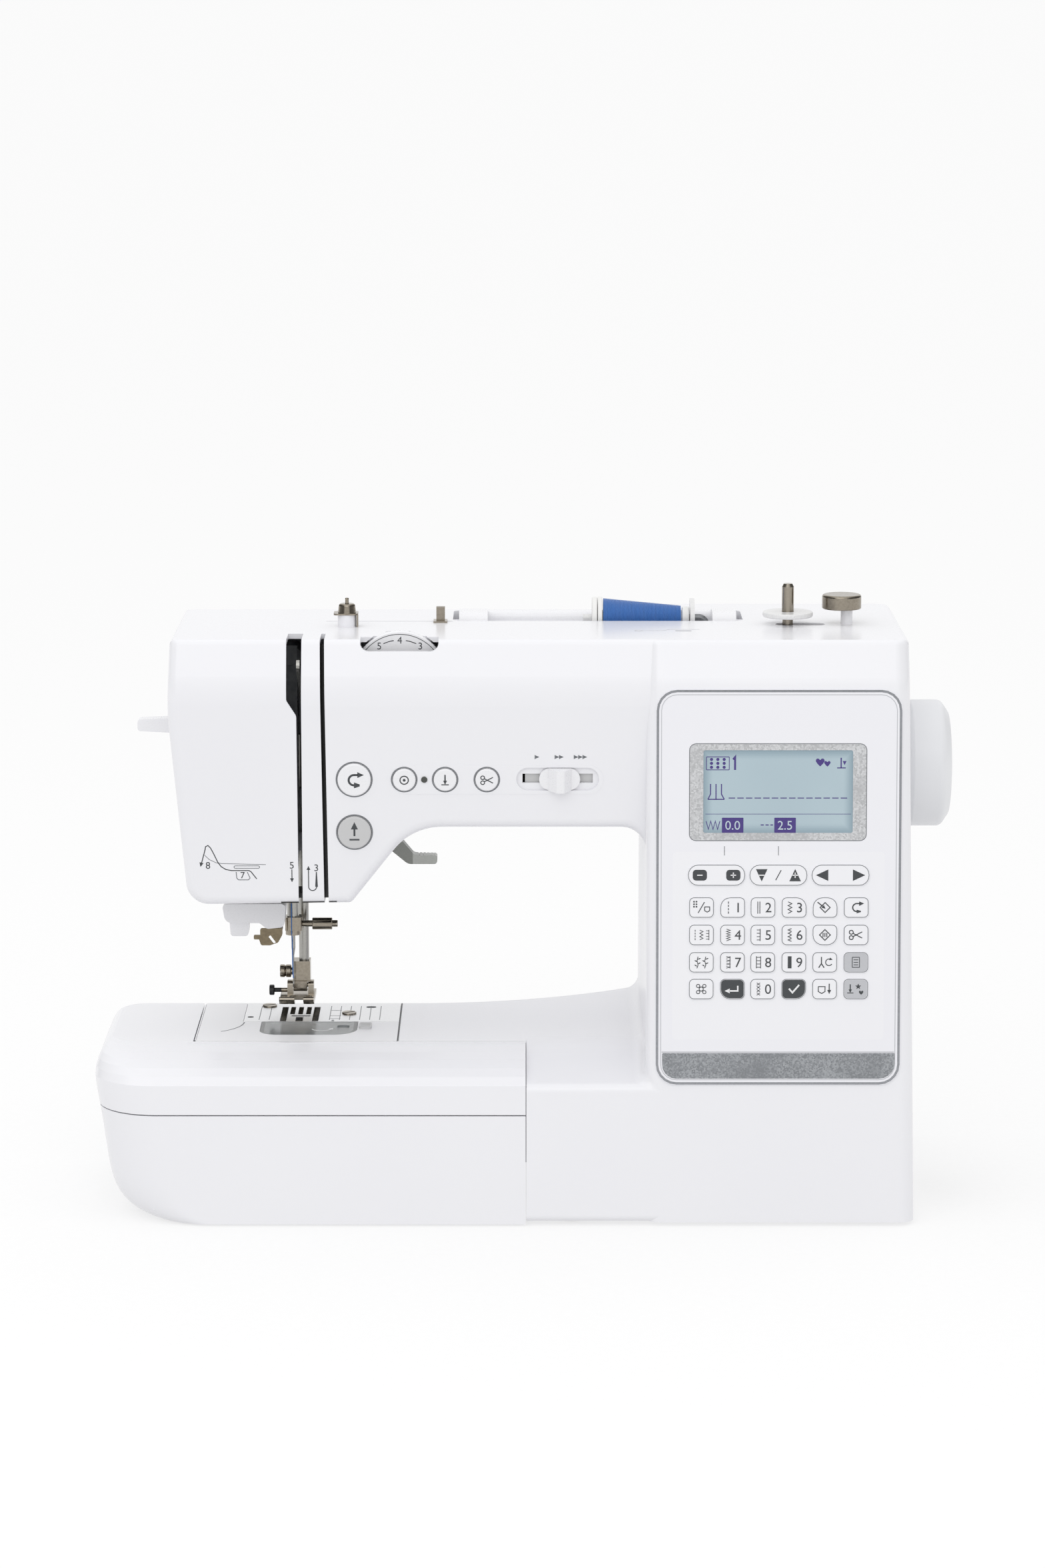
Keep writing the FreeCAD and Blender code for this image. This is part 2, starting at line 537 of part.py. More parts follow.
def build_sockets():
    """Power switch, inlet and pedal jack in one block on the right side."""
    block = box(SOCKET_X - 15, SOCKET_X + 4.2, SOCKET_Y0, SOCKET_Y1, SOCKET_Z0, SOCKET_Z1)
    flange = box(SOCKET_X - 2.5, SOCKET_X + 0.5, SOCKET_Y0 - 3, SOCKET_Y1 + 3, SOCKET_Z0 - 3, SOCKET_Z1 + 3)
    block = joined([block, flange])
    out_x = SOCKET_X + 12
    rocker_bay = box(SOCKET_X - 7, out_x, SWITCH_Y - 7.4, SWITCH_Y + 7.4, SWITCH_Z - 12, SWITCH_Z + 12)
    inlet = prism_x(rectangle(INLET_Y - 9, INLET_Y + 9, INLET_Z - 5, INLET_Z + 5, 4.9), SOCKET_X - 9, out_x)
    jack = rod(JACK_R, (SOCKET_X - 9, JACK_Y, JACK_Z), (out_x, JACK_Y, JACK_Z))
    trunnion = rod(1.6, (SOCKET_X, SWITCH_Y - 9.4, SWITCH_Z), (SOCKET_X, SWITCH_Y + 9.4, SWITCH_Z))
    blades = [rod(1.2, (SOCKET_X - 10, INLET_Y + side * 4.3, INLET_Z), (SOCKET_X - 3, INLET_Y + side * 4.3, INLET_Z))
              for side in (-1, 1)]
    export("power_inlet", joined([block.cut([rocker_bay, inlet, jack, trunnion])] + blades))
    rocker = prism_y([(-4, -10.5, 1), (5.4, -10.5, 1), (3.9, 0, 6), (5.4, 10.5, 1), (-4, 10.5, 1)], -7, 7)
    rocker.rotate(V(0, 0, 0), V(0, 1, 0), 7)
    rocker.translate(V(SOCKET_X, SWITCH_Y, SWITCH_Z))
    pin = rod(1.5, (SOCKET_X, SWITCH_Y - 9, SWITCH_Z), (SOCKET_X, SWITCH_Y + 9, SWITCH_Z))
    export("power_switch", joined([rocker, pin]))


def build_feet():
    spots = [(22, -68), (165, -68), (22, 38), (165, 66)]
    feet = [turned([(0, 0, 0), (0, 9, 1), (FOOT_H, 10, 0), (FOOT_H, 0, 0)], (x, y, 0), (0, 0, 1))
            for x, y in spots]
    export("rubber_feet", Part.makeCompound(feet))


FEED_ROWS = [(-8.0, -1.0, 25.0, 2.4), (8.0, -1.0, 25.0, 2.4), (-4.0, 14.0, 25.0, 1.7),
             (0.0, 14.0, 25.0, 1.7), (4.0, 14.0, 25.0, 1.7), (0.0, -1.0, 3.0, 3.0)]
FEED_TRAVEL = 2.0
FEED_TOP = BED_Z + 0.7
FEED_LOW = 72.5
BOBBIN_X0, BOBBIN_X1 = -131.4, -83.4
BOBBIN_Y0 = -32.5


def build_bed():
    """Free arm cover, needle plate, plate cover and the lift-out bobbin cover."""
    plan = bed_plan(ARM_END_X, ARM_END_R, FREE_FRONT_Y)
    left_part = box(ARM_END_X - 10, BASE_X, FREE_FRONT_Y - 10, REAR_LOW_Y, 0, BED_Z + 10)
    outer = prism_z(plan, FREE_LOW_Z, BED_Z).common(left_part)
    inner = prism_z(inset(plan, WALL), FREE_LOW_Z + WALL, BED_Z - WALL)
    seat = box(PLATE_X0 - SEAM, PLATE_X1 + SEAM, FREE_FRONT_Y - 1, FREE_REAR_Y + 1, BED_Z - PLATE_T, BED_Z + 1)
    export("free_arm_cover", outer.cut([inner, seat]))
    plate_z = BED_Z - PLATE_T
    needle_plate = box(NEEDLE_PLATE_X0, PLATE_X1, NEEDLE_PLATE_Y0, FREE_REAR_Y, plate_z, BED_Z)
    slots = [box(STITCH_X + x - w / 2 - 0.35, STITCH_X + x + w / 2 + 0.35, y0 - FEED_TRAVEL - 0.4,
                 y1 + FEED_TRAVEL + 0.4, 70, 90) for x, y0, y1, w in FEED_ROWS]
    needle_slot = prism_z(rectangle(NEEDLE_X - 1.3, NEEDLE_X + 8.3, NEEDLE_Y - 1.2, NEEDLE_Y + 1.2, 1.1), 70, 90)
    export("needle_plate", needle_plate.cut(slots + [needle_slot]))
    cover = box(PLATE_X0, PLATE_X1, FREE_FRONT_Y + 0.1, FREE_REAR_Y, plate_z, BED_Z)
    taken = box(NEEDLE_PLATE_X0 - SEAM, PLATE_X1 + 1, NEEDLE_PLATE_Y0 - SEAM, FREE_REAR_Y + 1, 70, 90)
    mouth_corners = [(BOBBIN_X0, NEEDLE_PLATE_Y0 + 2, 0), (BOBBIN_X0, BOBBIN_Y0, 9),
                     (BOBBIN_X1, BOBBIN_Y0, 12), (BOBBIN_X1, NEEDLE_PLATE_Y0 + 2, 0)]
    mouth = prism_z(inset(mouth_corners, 2.0), 70, 90)
    ledge = prism_z(mouth_corners, plate_z + 1.0, 90)
    export("plate_cover", cover.cut([taken, mouth, ledge]))
    lid = prism_z(inset(mouth_corners, SEAM), plate_z + 1.0, BED_Z)
    lid = lid.cut(box(-200, 0, NEEDLE_PLATE_Y0 - 2 * SEAM, 20, 70, 90))
    grip = prism_z(rectangle(BOBBIN_X1 - 10, BOBBIN_X1 - 4, -22, -12, 2), BED_Z - 0.6, 90)
    export("bobbin_cover", lid.cut(grip))


GEAR_R = 10.5           # bevel gear on the lower shaft; the hook gear is half of it
GEAR_BACKLASH = 0.5


def build_frame():
    """Die-cast frame through arm, pillar and bed, with its bushes."""
    beam = box(-136, 146, BEAM_Y, 36, BEAM_Z, SHAFT_Z + 4.4)
    lugs = [box(x, x + 10, -4, BEAM_Y + 1, SHAFT_Z - 12, SHAFT_Z + 12) for x in LUG_X]
    head = box(-152, -88, 28, 34, 160, TOP_Z - 11)
    swing_pin = rod(3.0, (NEEDLE_X, 2.0, SWING_Z), (NEEDLE_X, 29, SWING_Z))
    swing_step = rod(6.0, (NEEDLE_X, 5.2, SWING_Z), (NEEDLE_X, 29, SWING_Z))
    presser_guides = [box(PRESSER_X - 5, PRESSER_X + 5, PRESSER_Y - 4.8, 29, z, z + 9) for z in (164, 186)]
    threader_guide = box(THREADER_X - 5, THREADER_X + 5, -5, 29, 166, 174)
    take_up = box(-106.8, -101, 4, 29, TAKE_Z - 7, TAKE_Z + 7)
    take_pin = rod(2.5, (-110.9, TAKE_Y, TAKE_Z), (-104, TAKE_Y, TAKE_Z))
    lever_lug = box(LEVER_X - 7, LEVER_X + 7, BEAM_Y, 34, LEVER_Z - 7, BEAM_Z + 4)
    lever_pin = rod(3.0, (LEVER_X, PRESSER_Y + 0.6, LEVER_Z), (LEVER_X, 30, LEVER_Z))
    dial_post = box(DIAL_X - 6, DIAL_X + 6, 26, 34, BEAM_Z + 10, DIAL_Z + 7)
    dial_boss = rod(6.0, (DIAL_X, DIAL_Y + 5.0, DIAL_Z), (DIAL_X, 28, DIAL_Z))
    dial_pin = rod(3.0, (DIAL_X, DIAL_Y - 2.0, DIAL_Z), (DIAL_X, 0, DIAL_Z))
    column = box(64, 76, 26, 48, FOOT_H + WALL, SHAFT_Z + 4.4)
    bed = box(-158, 148, -42, 33, FREE_LOW_Z + WALL, FREE_LOW_Z + WALL + 2)
    bed = bed.cut(box(78, 180, 14, 60, 0, 60))
    legs = [box(x, x + 8, -40, 12, FOOT_H + WALL, FREE_LOW_Z + WALL) for x in (14, 110)]
    ribs = [box(-156, -148, -42, 33, FREE_LOW_Z + WALL, BED_Z - PLATE_T),
            box(-76, -66, -42, 33, FREE_LOW_Z + WALL, BED_Z - PLATE_T)]
    sill = box(-148, -137, -1.5, 33, 66, BED_Z - PLATE_T)
    rails = [box(-149, -124.5, 9, 22, 66, FEED_LOW - RUN), box(-86.5, -75, 9, 22, 66, FEED_LOW - RUN)]
    shelf = box(-149, -75, LOW_SHAFT_Y - 12, LOW_SHAFT_Y + 12, 48.5, 52.5)
    stays = [box(x, x + 10, LOW_SHAFT_Y - 9, LOW_SHAFT_Y + 9, FREE_LOW_Z + WALL, LOW_SHAFT_Z + 9)
             for x in LOW_LUG_X]
    frame = joined([beam, head, swing_step, swing_pin, threader_guide, take_up, take_pin, lever_lug,
                    lever_pin, dial_post, dial_boss, dial_pin, column, bed, sill, shelf]
                   + lugs + presser_guides + legs + ribs + rails + stays)
    bores = [rod(9.0, (x - 1, NEEDLE_Y, SHAFT_Z), (x + 11, NEEDLE_Y, SHAFT_Z)) for x in LUG_X]
    bores += [rod(6.0, (x - 1, LOW_SHAFT_Y, LOW_SHAFT_Z), (x + 11, LOW_SHAFT_Y, LOW_SHAFT_Z)) for x in LOW_LUG_X]
    bores += [rod(2.5 + RUN, (PRESSER_X, PRESSER_Y, 150), (PRESSER_X, PRESSER_Y, 200)),
              rod(2.5 + RUN, (THREADER_X, THREADER_Y, 160), (THREADER_X, THREADER_Y, 180)),
              rod(4.0 + RUN, (STITCH_X, LOW_SHAFT_Y, 40), (STITCH_X, LOW_SHAFT_Y, 60)),
              box(-128, -98, LOW_SHAFT_Y - 14, LOW_SHAFT_Y + 14, 20, 26),
              rod(LOW_SHAFT_R + 1.5, (-100, LOW_SHAFT_Y, LOW_SHAFT_Z), (150, LOW_SHAFT_Y, LOW_SHAFT_Z))]
    export("main_frame", frame.cut(bores))
    bushes = [tube(9.0, SHAFT_R + RUN, (x, NEEDLE_Y, SHAFT_Z), (x + 10, NEEDLE_Y, SHAFT_Z)) for x in LUG_X]
    bushes += [tube(6.0, LOW_SHAFT_R + RUN, (x, LOW_SHAFT_Y, LOW_SHAFT_Z), (x + 10, LOW_SHAFT_Y, LOW_SHAFT_Z))
               for x in LOW_LUG_X]
    export("shaft_bushes", Part.makeCompound(bushes))


BEAM_Y, BEAM_Z = PRESSER_Y + 9.5, SHAFT_Z - 13.6   # front and underside of the beam through the arm
LUG_X = [-92.0, 30.0, 134.0]
LOW_LUG_X = [-64.0, 140.0]
TAKE_Y, TAKE_Z = 12.0, 238.0
LEVER_X, LEVER_Z = -84.0, 178.0
THREADER_X, THREADER_Y = -140.0, 0.0
MOTOR_Y, MOTOR_Z, MOTOR_R = 40.0, 62.0, 24.0
WHEEL_R = 31.2
WHEEL_X0, WHEEL_X1 = 186.8, 209.6
BELT_X0, BELT_X1 = 164.0, 171.0
DRIVE_R = 26.0
MOTOR_PULLEY_R = 8.0
TIMING_X0, TIMING_X1 = 152.0, 160.0
TIMING_R = 14.0
BELT_T = 1.6


def belt(x0, x1, first, first_r, second, second_r):
    """Belt loop round two pulleys of different size, centres given as (Y, Z)."""
    def loop(extra):
        (ya, za), (yb, zb) = first, second
        ra, rb = first_r + extra, second_r + extra
        span = math.hypot(yb - ya, zb - za)
        heading = math.atan2(zb - za, yb - ya)
        spread = math.acos((ra - rb) / span)
        def at(centre, radius, angle):
            return V(x0, centre[0] + radius * math.cos(angle), centre[1] + radius * math.sin(angle))
        a1, a2 = at(first, ra, heading + spread), at(first, ra, heading - spread)
        b1, b2 = at(second, rb, heading + spread), at(second, rb, heading - spread)
        edges = [Part.Arc(a1, at(first, ra, heading + math.pi), a2).toShape(),
                 Part.LineSegment(a2, b2).toShape(),
                 Part.Arc(b2, at(second, rb, heading), b1).toShape(),
                 Part.LineSegment(b1, a1).toShape()]
        return Part.Face(Part.Wire(edges)).extrude(V(x1 - x0, 0, 0))
    return loop(GAP + BELT_T).cut(loop(GAP))


def flanged_pulley(radius, x0, x1, y, z):
    half = 1.2
    return turned([(0, 0, 0), (0, radius + 2.6, 0), (half, radius + 2.6, 0), (half, radius, 0),
                   (x1 - x0 - half, radius, 0), (x1 - x0 - half, radius + 2.6, 0),
                   (x1 - x0, radius + 2.6, 0), (x1 - x0, 0, 0)], (x0, y, z), (1, 0, 0))


def build_drive():
    """Hand wheel, main shaft, crank, belts, motor and lower shaft with the hook."""
    axis_y, axis_z = NEEDLE_Y, SHAFT_Z
    wheel = turned([(0, 0, 0), (0, WHEEL_R - 1.2, 1), (3.0, WHEEL_R, 2), (WHEEL_X1 - WHEEL_X0 - 5.2, WHEEL_R, 4),
                    (WHEEL_X1 - WHEEL_X0 - 1.2, WHEEL_R - 6.0, 3), (WHEEL_X1 - WHEEL_X0, 10, 20),
                    (WHEEL_X1 - WHEEL_X0, 0, 0)], (WHEEL_X0, axis_y, axis_z), (1, 0, 0))
    dimple = Part.makeSphere(12.0, V(WHEEL_X1 + 9.0, axis_y - 13.0, axis_z + 8.0))
    hub = rod(12.0, (BELT_X1, axis_y, axis_z), (WHEEL_X0 + 1, axis_y, axis_z))
    pulley = flanged_pulley(DRIVE_R, BELT_X0 - 2, BELT_X1 + 2, axis_y, axis_z)
    bore = rod(SHAFT_R, (150, axis_y, axis_z), (WHEEL_X1 - 6, axis_y, axis_z))
    export("hand_wheel", joined([wheel.cut(dimple), hub, pulley]).cut(bore))
    shaft = rod(SHAFT_R, (-98, axis_y, axis_z), (WHEEL_X1 - 6, axis_y, axis_z))
    timing = flanged_pulley(TIMING_R, TIMING_X0 - 2, TIMING_X1 + 2, axis_y, axis_z)
    export("main_shaft", joined([shaft, timing]))
    crank = joined([rod(18.0, (-106, axis_y, axis_z), (-97, axis_y, axis_z)),
                    rod(3.0, (-108.2, axis_y, axis_z + 13), (-104, axis_y, axis_z + 13))])
    export("needle_crank", crank.cut(rod(SHAFT_R, (-98, axis_y, axis_z), (-90, axis_y, axis_z))))
    drive = belt(BELT_X0, BELT_X1, (axis_y, axis_z), DRIVE_R, (MOTOR_Y, MOTOR_Z), MOTOR_PULLEY_R)
    timing_belt = belt(TIMING_X0, TIMING_X1, (axis_y, axis_z), TIMING_R, (LOW_SHAFT_Y, LOW_SHAFT_Z), TIMING_R)
    export("drive_belts", Part.makeCompound([drive, timing_belt]))
    can = turned([(0, 0, 0), (0, MOTOR_R, 3), (62, MOTOR_R, 3), (62, 0, 0)], (76, MOTOR_Y, MOTOR_Z), (1, 0, 0))
    nose = rod(9.0, (137, MOTOR_Y, MOTOR_Z), (144, MOTOR_Y, MOTOR_Z))
    motor = joined([can, nose, box(84, 130, MOTOR_Y - 14, MOTOR_Y + 14, FOOT_H + WALL, MOTOR_Z - 16)])
    arbor = rod(3.0 + RUN, (100, MOTOR_Y, MOTOR_Z), (150, MOTOR_Y, MOTOR_Z))
    export("drive_motor", motor.cut(arbor))
    pulley = flanged_pulley(MOTOR_PULLEY_R, BELT_X0 - 2, BELT_X1 + 2, MOTOR_Y, MOTOR_Z)
    export("motor_pulley", joined([pulley, rod(3.0, (102, MOTOR_Y, MOTOR_Z), (BELT_X0, MOTOR_Y, MOTOR_Z))]))
    low = rod(LOW_SHAFT_R, (STITCH_X + 6, LOW_SHAFT_Y, LOW_SHAFT_Z), (TIMING_X1 + 2, LOW_SHAFT_Y, LOW_SHAFT_Z))
    gear_x = STITCH_X + GEAR_R * 0.3 + GEAR_BACKLASH
    gear = cone(GEAR_R * 0.6, GEAR_R, (gear_x, LOW_SHAFT_Y, LOW_SHAFT_Z),
                (gear_x + GEAR_R * 0.2, LOW_SHAFT_Y, LOW_SHAFT_Z))
    hub = rod(7.0, (gear_x + GEAR_R * 0.2, LOW_SHAFT_Y, LOW_SHAFT_Z), (gear_x + 8.0, LOW_SHAFT_Y, LOW_SHAFT_Z))
    low_pulley = flanged_pulley(TIMING_R, TIMING_X0 - 2, TIMING_X1 + 2, LOW_SHAFT_Y, LOW_SHAFT_Z)
    export("lower_shaft", joined([low, gear, hub, low_pulley]))
    build_hook()


HOOK_Z = 53.0
BOBBIN_R = 10.2


def build_hook():
    """Rotary hook on its upright stem, the bobbin case that stands still in it, and the bobbin."""
    at = (STITCH_X, LOW_SHAFT_Y, 0)
    cup = turned([(HOOK_Z, 0, 0), (HOOK_Z, HOOK_R, 1), (HOOK_Z + 13, HOOK_R, 0), (HOOK_Z + 13, HOOK_R - 2.5, 0),
                  (HOOK_Z + 3, HOOK_R - 2.5, 0), (HOOK_Z + 3, 0, 0)], at, (0, 0, 1))
    point = box(STITCH_X - 2, STITCH_X + 14, LOW_SHAFT_Y + 10, LOW_SHAFT_Y + 30, HOOK_Z + 7, HOOK_Z + 20)
    stem = rod(4.0, (STITCH_X, LOW_SHAFT_Y, LOW_SHAFT_Z + GEAR_R * 0.9), (STITCH_X, LOW_SHAFT_Y, HOOK_Z + 1))
    bevel = cone(GEAR_R * 0.3, GEAR_R * 0.5, (STITCH_X, LOW_SHAFT_Y, LOW_SHAFT_Z + GEAR_R * 0.6),
                 (STITCH_X, LOW_SHAFT_Y, LOW_SHAFT_Z + GEAR_R))
    export("rotary_hook", joined([cup.cut(point), stem, bevel]))
    case_r = HOOK_R - 2.5 - GAP
    case = turned([(HOOK_Z + 3 + GAP, 0, 0), (HOOK_Z + 3 + GAP, case_r, 0), (HOOK_Z + 13.3, case_r, 0),
                   (HOOK_Z + 13.3, HOOK_R + 1.2, 0), (HOOK_Z + 14.8, HOOK_R + 1.2, 0),
                   (HOOK_Z + 14.8, BOBBIN_R + 1.5, 0), (HOOK_Z + 5, BOBBIN_R + 1.5, 0), (HOOK_Z + 5, 0, 0)],
                  at, (0, 0, 1))
    needle_way = box(STITCH_X - 8, STITCH_X + 8, LOW_SHAFT_Y + 15.5, LOW_SHAFT_Y + 30, 50, 80)
    arms = [box(x0, x1, LOW_SHAFT_Y - 6, LOW_SHAFT_Y + 6, HOOK_Z + 13.3, HOOK_Z + 14.8)
            for x0, x1 in ((STITCH_X - 35, STITCH_X - HOOK_R + 1), (STITCH_X + HOOK_R - 1, STITCH_X + 37))]
    spindle = rod(2.8, (STITCH_X, LOW_SHAFT_Y, HOOK_Z + 4), (STITCH_X, LOW_SHAFT_Y, HOOK_Z + 14))
    export("bobbin_case", joined([case.cut(needle_way), spindle] + arms))
    bobbin = turned([(HOOK_Z + 5.2, 2.8 + RUN, 0), (HOOK_Z + 5.2, BOBBIN_R, 0), (HOOK_Z + 6.2, BOBBIN_R, 0),
                     (HOOK_Z + 6.2, 4.5, 0), (HOOK_Z + 15.7, 4.5, 0), (HOOK_Z + 15.7, BOBBIN_R, 0),
                     (HOOK_Z + 16.7, BOBBIN_R, 0), (HOOK_Z + 16.7, 2.8 + RUN, 0)], at, (0, 0, 1))
    export("bobbin", bobbin)


CLAMP_Z = 128.2         # axis of the clamp screw


def build_needle():
    """Swinging needle bar frame, needle bar, clamp, clamp screw and needle."""
    plate = box(NEEDLE_X - 4.5, NEEDLE_X + 3.5, 1.5, 4.6, 165, SWING_Z + 7)
    lugs = [box(NEEDLE_X - 4.5, NEEDLE_X + 3.5, 4, NEEDLE_Y + 4.4, z, z + 8) for z in (165, 232)]
    holes = [rod(3.0 + RUN, (NEEDLE_X, NEEDLE_Y, 150), (NEEDLE_X, NEEDLE_Y, 250)),
             rod(3.0 + RUN, (NEEDLE_X, -5, SWING_Z), (NEEDLE_X, 10, SWING_Z))]
    export("needle_bar_frame", joined([plate] + lugs).cut(holes))
    bar = rod(3.0, (NEEDLE_X, NEEDLE_Y, 127), (NEEDLE_X, NEEDLE_Y, 252))
    shank = rod(1.0, (NEEDLE_X, NEEDLE_Y, 120), (NEEDLE_X, NEEDLE_Y, 134))
    export("needle_bar", bar.cut(shank))
    clamp = joined([prism_z(rectangle(NEEDLE_X - 3.9, NEEDLE_X + 4.6, NEEDLE_Y - 4.2, NEEDLE_Y + 4.2, 1.6), 125.2, 132.0),
                    rod(3.8, (NEEDLE_X, NEEDLE_Y, 122.8), (NEEDLE_X, NEEDLE_Y, 126))])
    clamp = clamp.cut([rod(3.0, (NEEDLE_X, NEEDLE_Y, 127), (NEEDLE_X, NEEDLE_Y, 140)),
                       rod(1.0, (NEEDLE_X, NEEDLE_Y, 120), (NEEDLE_X, NEEDLE_Y, 134)),
                       rod(1.4, (NEEDLE_X + 2.0, NEEDLE_Y, CLAMP_Z), (NEEDLE_X + 6, NEEDLE_Y, CLAMP_Z))])
    export("needle_clamp", clamp)
    screw = turned([(3.05, 0, 0), (3.05, 1.4, 0), (4.6, 1.4, 0), (7.5, 1.6, 0), (9.6, 1.6, 0), (9.6, 3.0, 0.4),
                    (19.5, 3.0, 0.4), (19.5, 1.7, 0), (22.2, 1.7, 0.3), (22.2, 0, 0)],
                   (NEEDLE_X, NEEDLE_Y, CLAMP_Z), (1, 0, 0))
    slot = box(NEEDLE_X + 21.2, NEEDLE_X + 23, NEEDLE_Y - 2, NEEDLE_Y + 2, CLAMP_Z - 0.3, CLAMP_Z + 0.3)
    export("clamp_screw", screw.cut(slot))
    needle = turned([(95.5, 0, 0), (97.5, 0.38, 0), (112.0, 0.4, 0), (116.0, 1.0, 0), (134.0, 1.0, 0), (134.0, 0, 0)],
                    (NEEDLE_X, NEEDLE_Y, 0), (0, 0, 1))
    eye = box(NEEDLE_X - 0.18, NEEDLE_X + 0.18, NEEDLE_Y - 2, NEEDLE_Y + 2, 98.7, 100.2)
    export("needle", needle.cut(eye))
    lever = prism_x([(TAKE_Y + 5, TAKE_Z - 5, 4.9), (TAKE_Y + 5, TAKE_Z + 5, 4.9), (TAKE_Y - 58, TAKE_Z + 32, 2.4),
                     (TAKE_Y - 60, TAKE_Z + 27, 2.4), (TAKE_Y - 6, TAKE_Z - 5, 4)], -110.6, -109.0)
    lever = lever.cut([rod(2.5 + RUN, (-115, TAKE_Y, TAKE_Z), (-100, TAKE_Y, TAKE_Z)),
                       rod(1.0, (-115, TAKE_Y - 55.5, TAKE_Z + 28), (-100, TAKE_Y - 55.5, TAKE_Z + 28))])
    export("take_up_lever", lever)


FOOT_Z = 88.2           # sole of the raised presser foot
FOOT_PIN_Z = 94.5
FOOT_PIN_R = 1.1
FOOT_X = -114.2         # middle of the foot
SCREW_Z = 101.6         # thumb screw of the foot holder


def build_presser():
    """Presser bar, foot holder, thumb screw, pivoting foot and lifting lever."""
    export("presser_bar", rod(2.5, (PRESSER_X, PRESSER_Y, 101), (PRESSER_X, PRESSER_Y, 222)))
    holder = joined([box(-116.6, -108.0, PRESSER_Y - 4.8, PRESSER_Y + 4.5, 97.0, 107.5),
                     prism_x([(PRESSER_Y - 6, 97.5, 0), (PRESSER_Y + 4, 97.5, 0), (PRESSER_Y + 4, FOOT_PIN_Z - 2.3, 2),
                              (PRESSER_Y - 6, FOOT_PIN_Z - 2.3, 2)], -116.4, -109.6)])
    holder = holder.cut([rod(2.5, (PRESSER_X, PRESSER_Y, 101), (PRESSER_X, PRESSER_Y, 120)),
                         rod(FOOT_PIN_R + RUN, (-120, PRESSER_Y, FOOT_PIN_Z), (-100, PRESSER_Y, FOOT_PIN_Z)),
                         rod(1.6, (-120, PRESSER_Y, SCREW_Z), (-113.7, PRESSER_Y, SCREW_Z))])
    export("foot_holder", holder)
    screw = turned([(0, 0, 0), (0, 3.2, 0.5), (2.2, 3.2, 0.5), (2.7, 2.7, 0), (3.2, 3.2, 0.5), (5.6, 3.2, 0.5),
                    (5.6, 2.0, 0), (6.7, 2.0, 0), (6.7, 1.6, 0), (9.6, 1.6, 0), (9.6, 0, 0)],
                   (-123.3, PRESSER_Y, SCREW_Z), (1, 0, 0))
    slit = box(-124, -122.4, PRESSER_Y - 4, PRESSER_Y + 4, SCREW_Z - 0.4, SCREW_Z + 0.4)
    export("foot_screw", screw.cut(slit))
    sole = prism_x([(-3.6, FOOT_Z + 3.2, 1), (-2.8, FOOT_Z + 5.2, 1), (3.0, FOOT_Z + 2.4, 6), (28.5, FOOT_Z + 2.4, 1),
                    (28.5, FOOT_Z, 1), (2.0, FOOT_Z, 6)], FOOT_X - 8.6, FOOT_X + 8.6)
    window = prism_z(rectangle(NEEDLE_X - 2.2, NEEDLE_X + 9.0, NEEDLE_Y - 3.2, NEEDLE_Y + 4.0, 1.5), 80, 100)
    toe_gap = prism_z(rectangle(STITCH_X - 2.2, STITCH_X + 2.2, -10, NEEDLE_Y), 80, 100)
    ears = [prism_x([(PRESSER_Y - 4, FOOT_Z + 2, 0), (PRESSER_Y + 4, FOOT_Z + 2, 0),
                     (PRESSER_Y + 3, FOOT_PIN_Z + 2.4, 2.2), (PRESSER_Y - 3, FOOT_PIN_Z + 2.4, 2.2)], x0, x1)
            for x0, x1 in ((-119.6, -116.8), (-109.2, -106.4))]
    pin = rod(FOOT_PIN_R, (-119.6, PRESSER_Y, FOOT_PIN_Z), (-106.4, PRESSER_Y, FOOT_PIN_Z))
    button = turned([(0, 0, 0), (0, 2.6, 0.5), (2.5, 2.6, 0.5), (2.5, 1.1, 0), (9.4, 1.1, 0), (9.4, 0, 0)],
                    (-128.6, PRESSER_Y - 2.5, FOOT_PIN_Z - 2.1), (1, 0, 0))
    export("presser_foot", joined([sole.cut([window, toe_gap]), pin, button] + ears))
    y0, y1 = PRESSER_Y + 1.6, PRESSER_Y + 8.6
    arm = prism_y([(LEVER_X - 6.5, LEVER_Z - 4.5, 4.4), (LEVER_X - 2, LEVER_Z + 6.5, 5),
                   (LEVER_X + 13, LEVER_Z + 0.5, 8), (LEVER_X + 28, LEVER_Z - 17.4, 3),
                   (LEVER_X + 39.6, LEVER_Z - 17.8, 1.2), (LEVER_X + 39.6, LEVER_Z - 22.2, 1.6),
                   (LEVER_X + 25, LEVER_Z - 22.2, 5), (LEVER_X + 6, LEVER_Z - 6.5, 8)], y0, y1)
    grooves = [rod(0.5, (LEVER_X + x, 0, LEVER_Z - 17.4), (LEVER_X + x, 60, LEVER_Z - 17.4))
               for x in (30.5, 32.3, 34.1, 35.9, 37.7)]
    export("presser_lever", arm.cut([rod(3.0 + RUN, (LEVER_X, 0, LEVER_Z), (LEVER_X, 60, LEVER_Z))] + grooves))


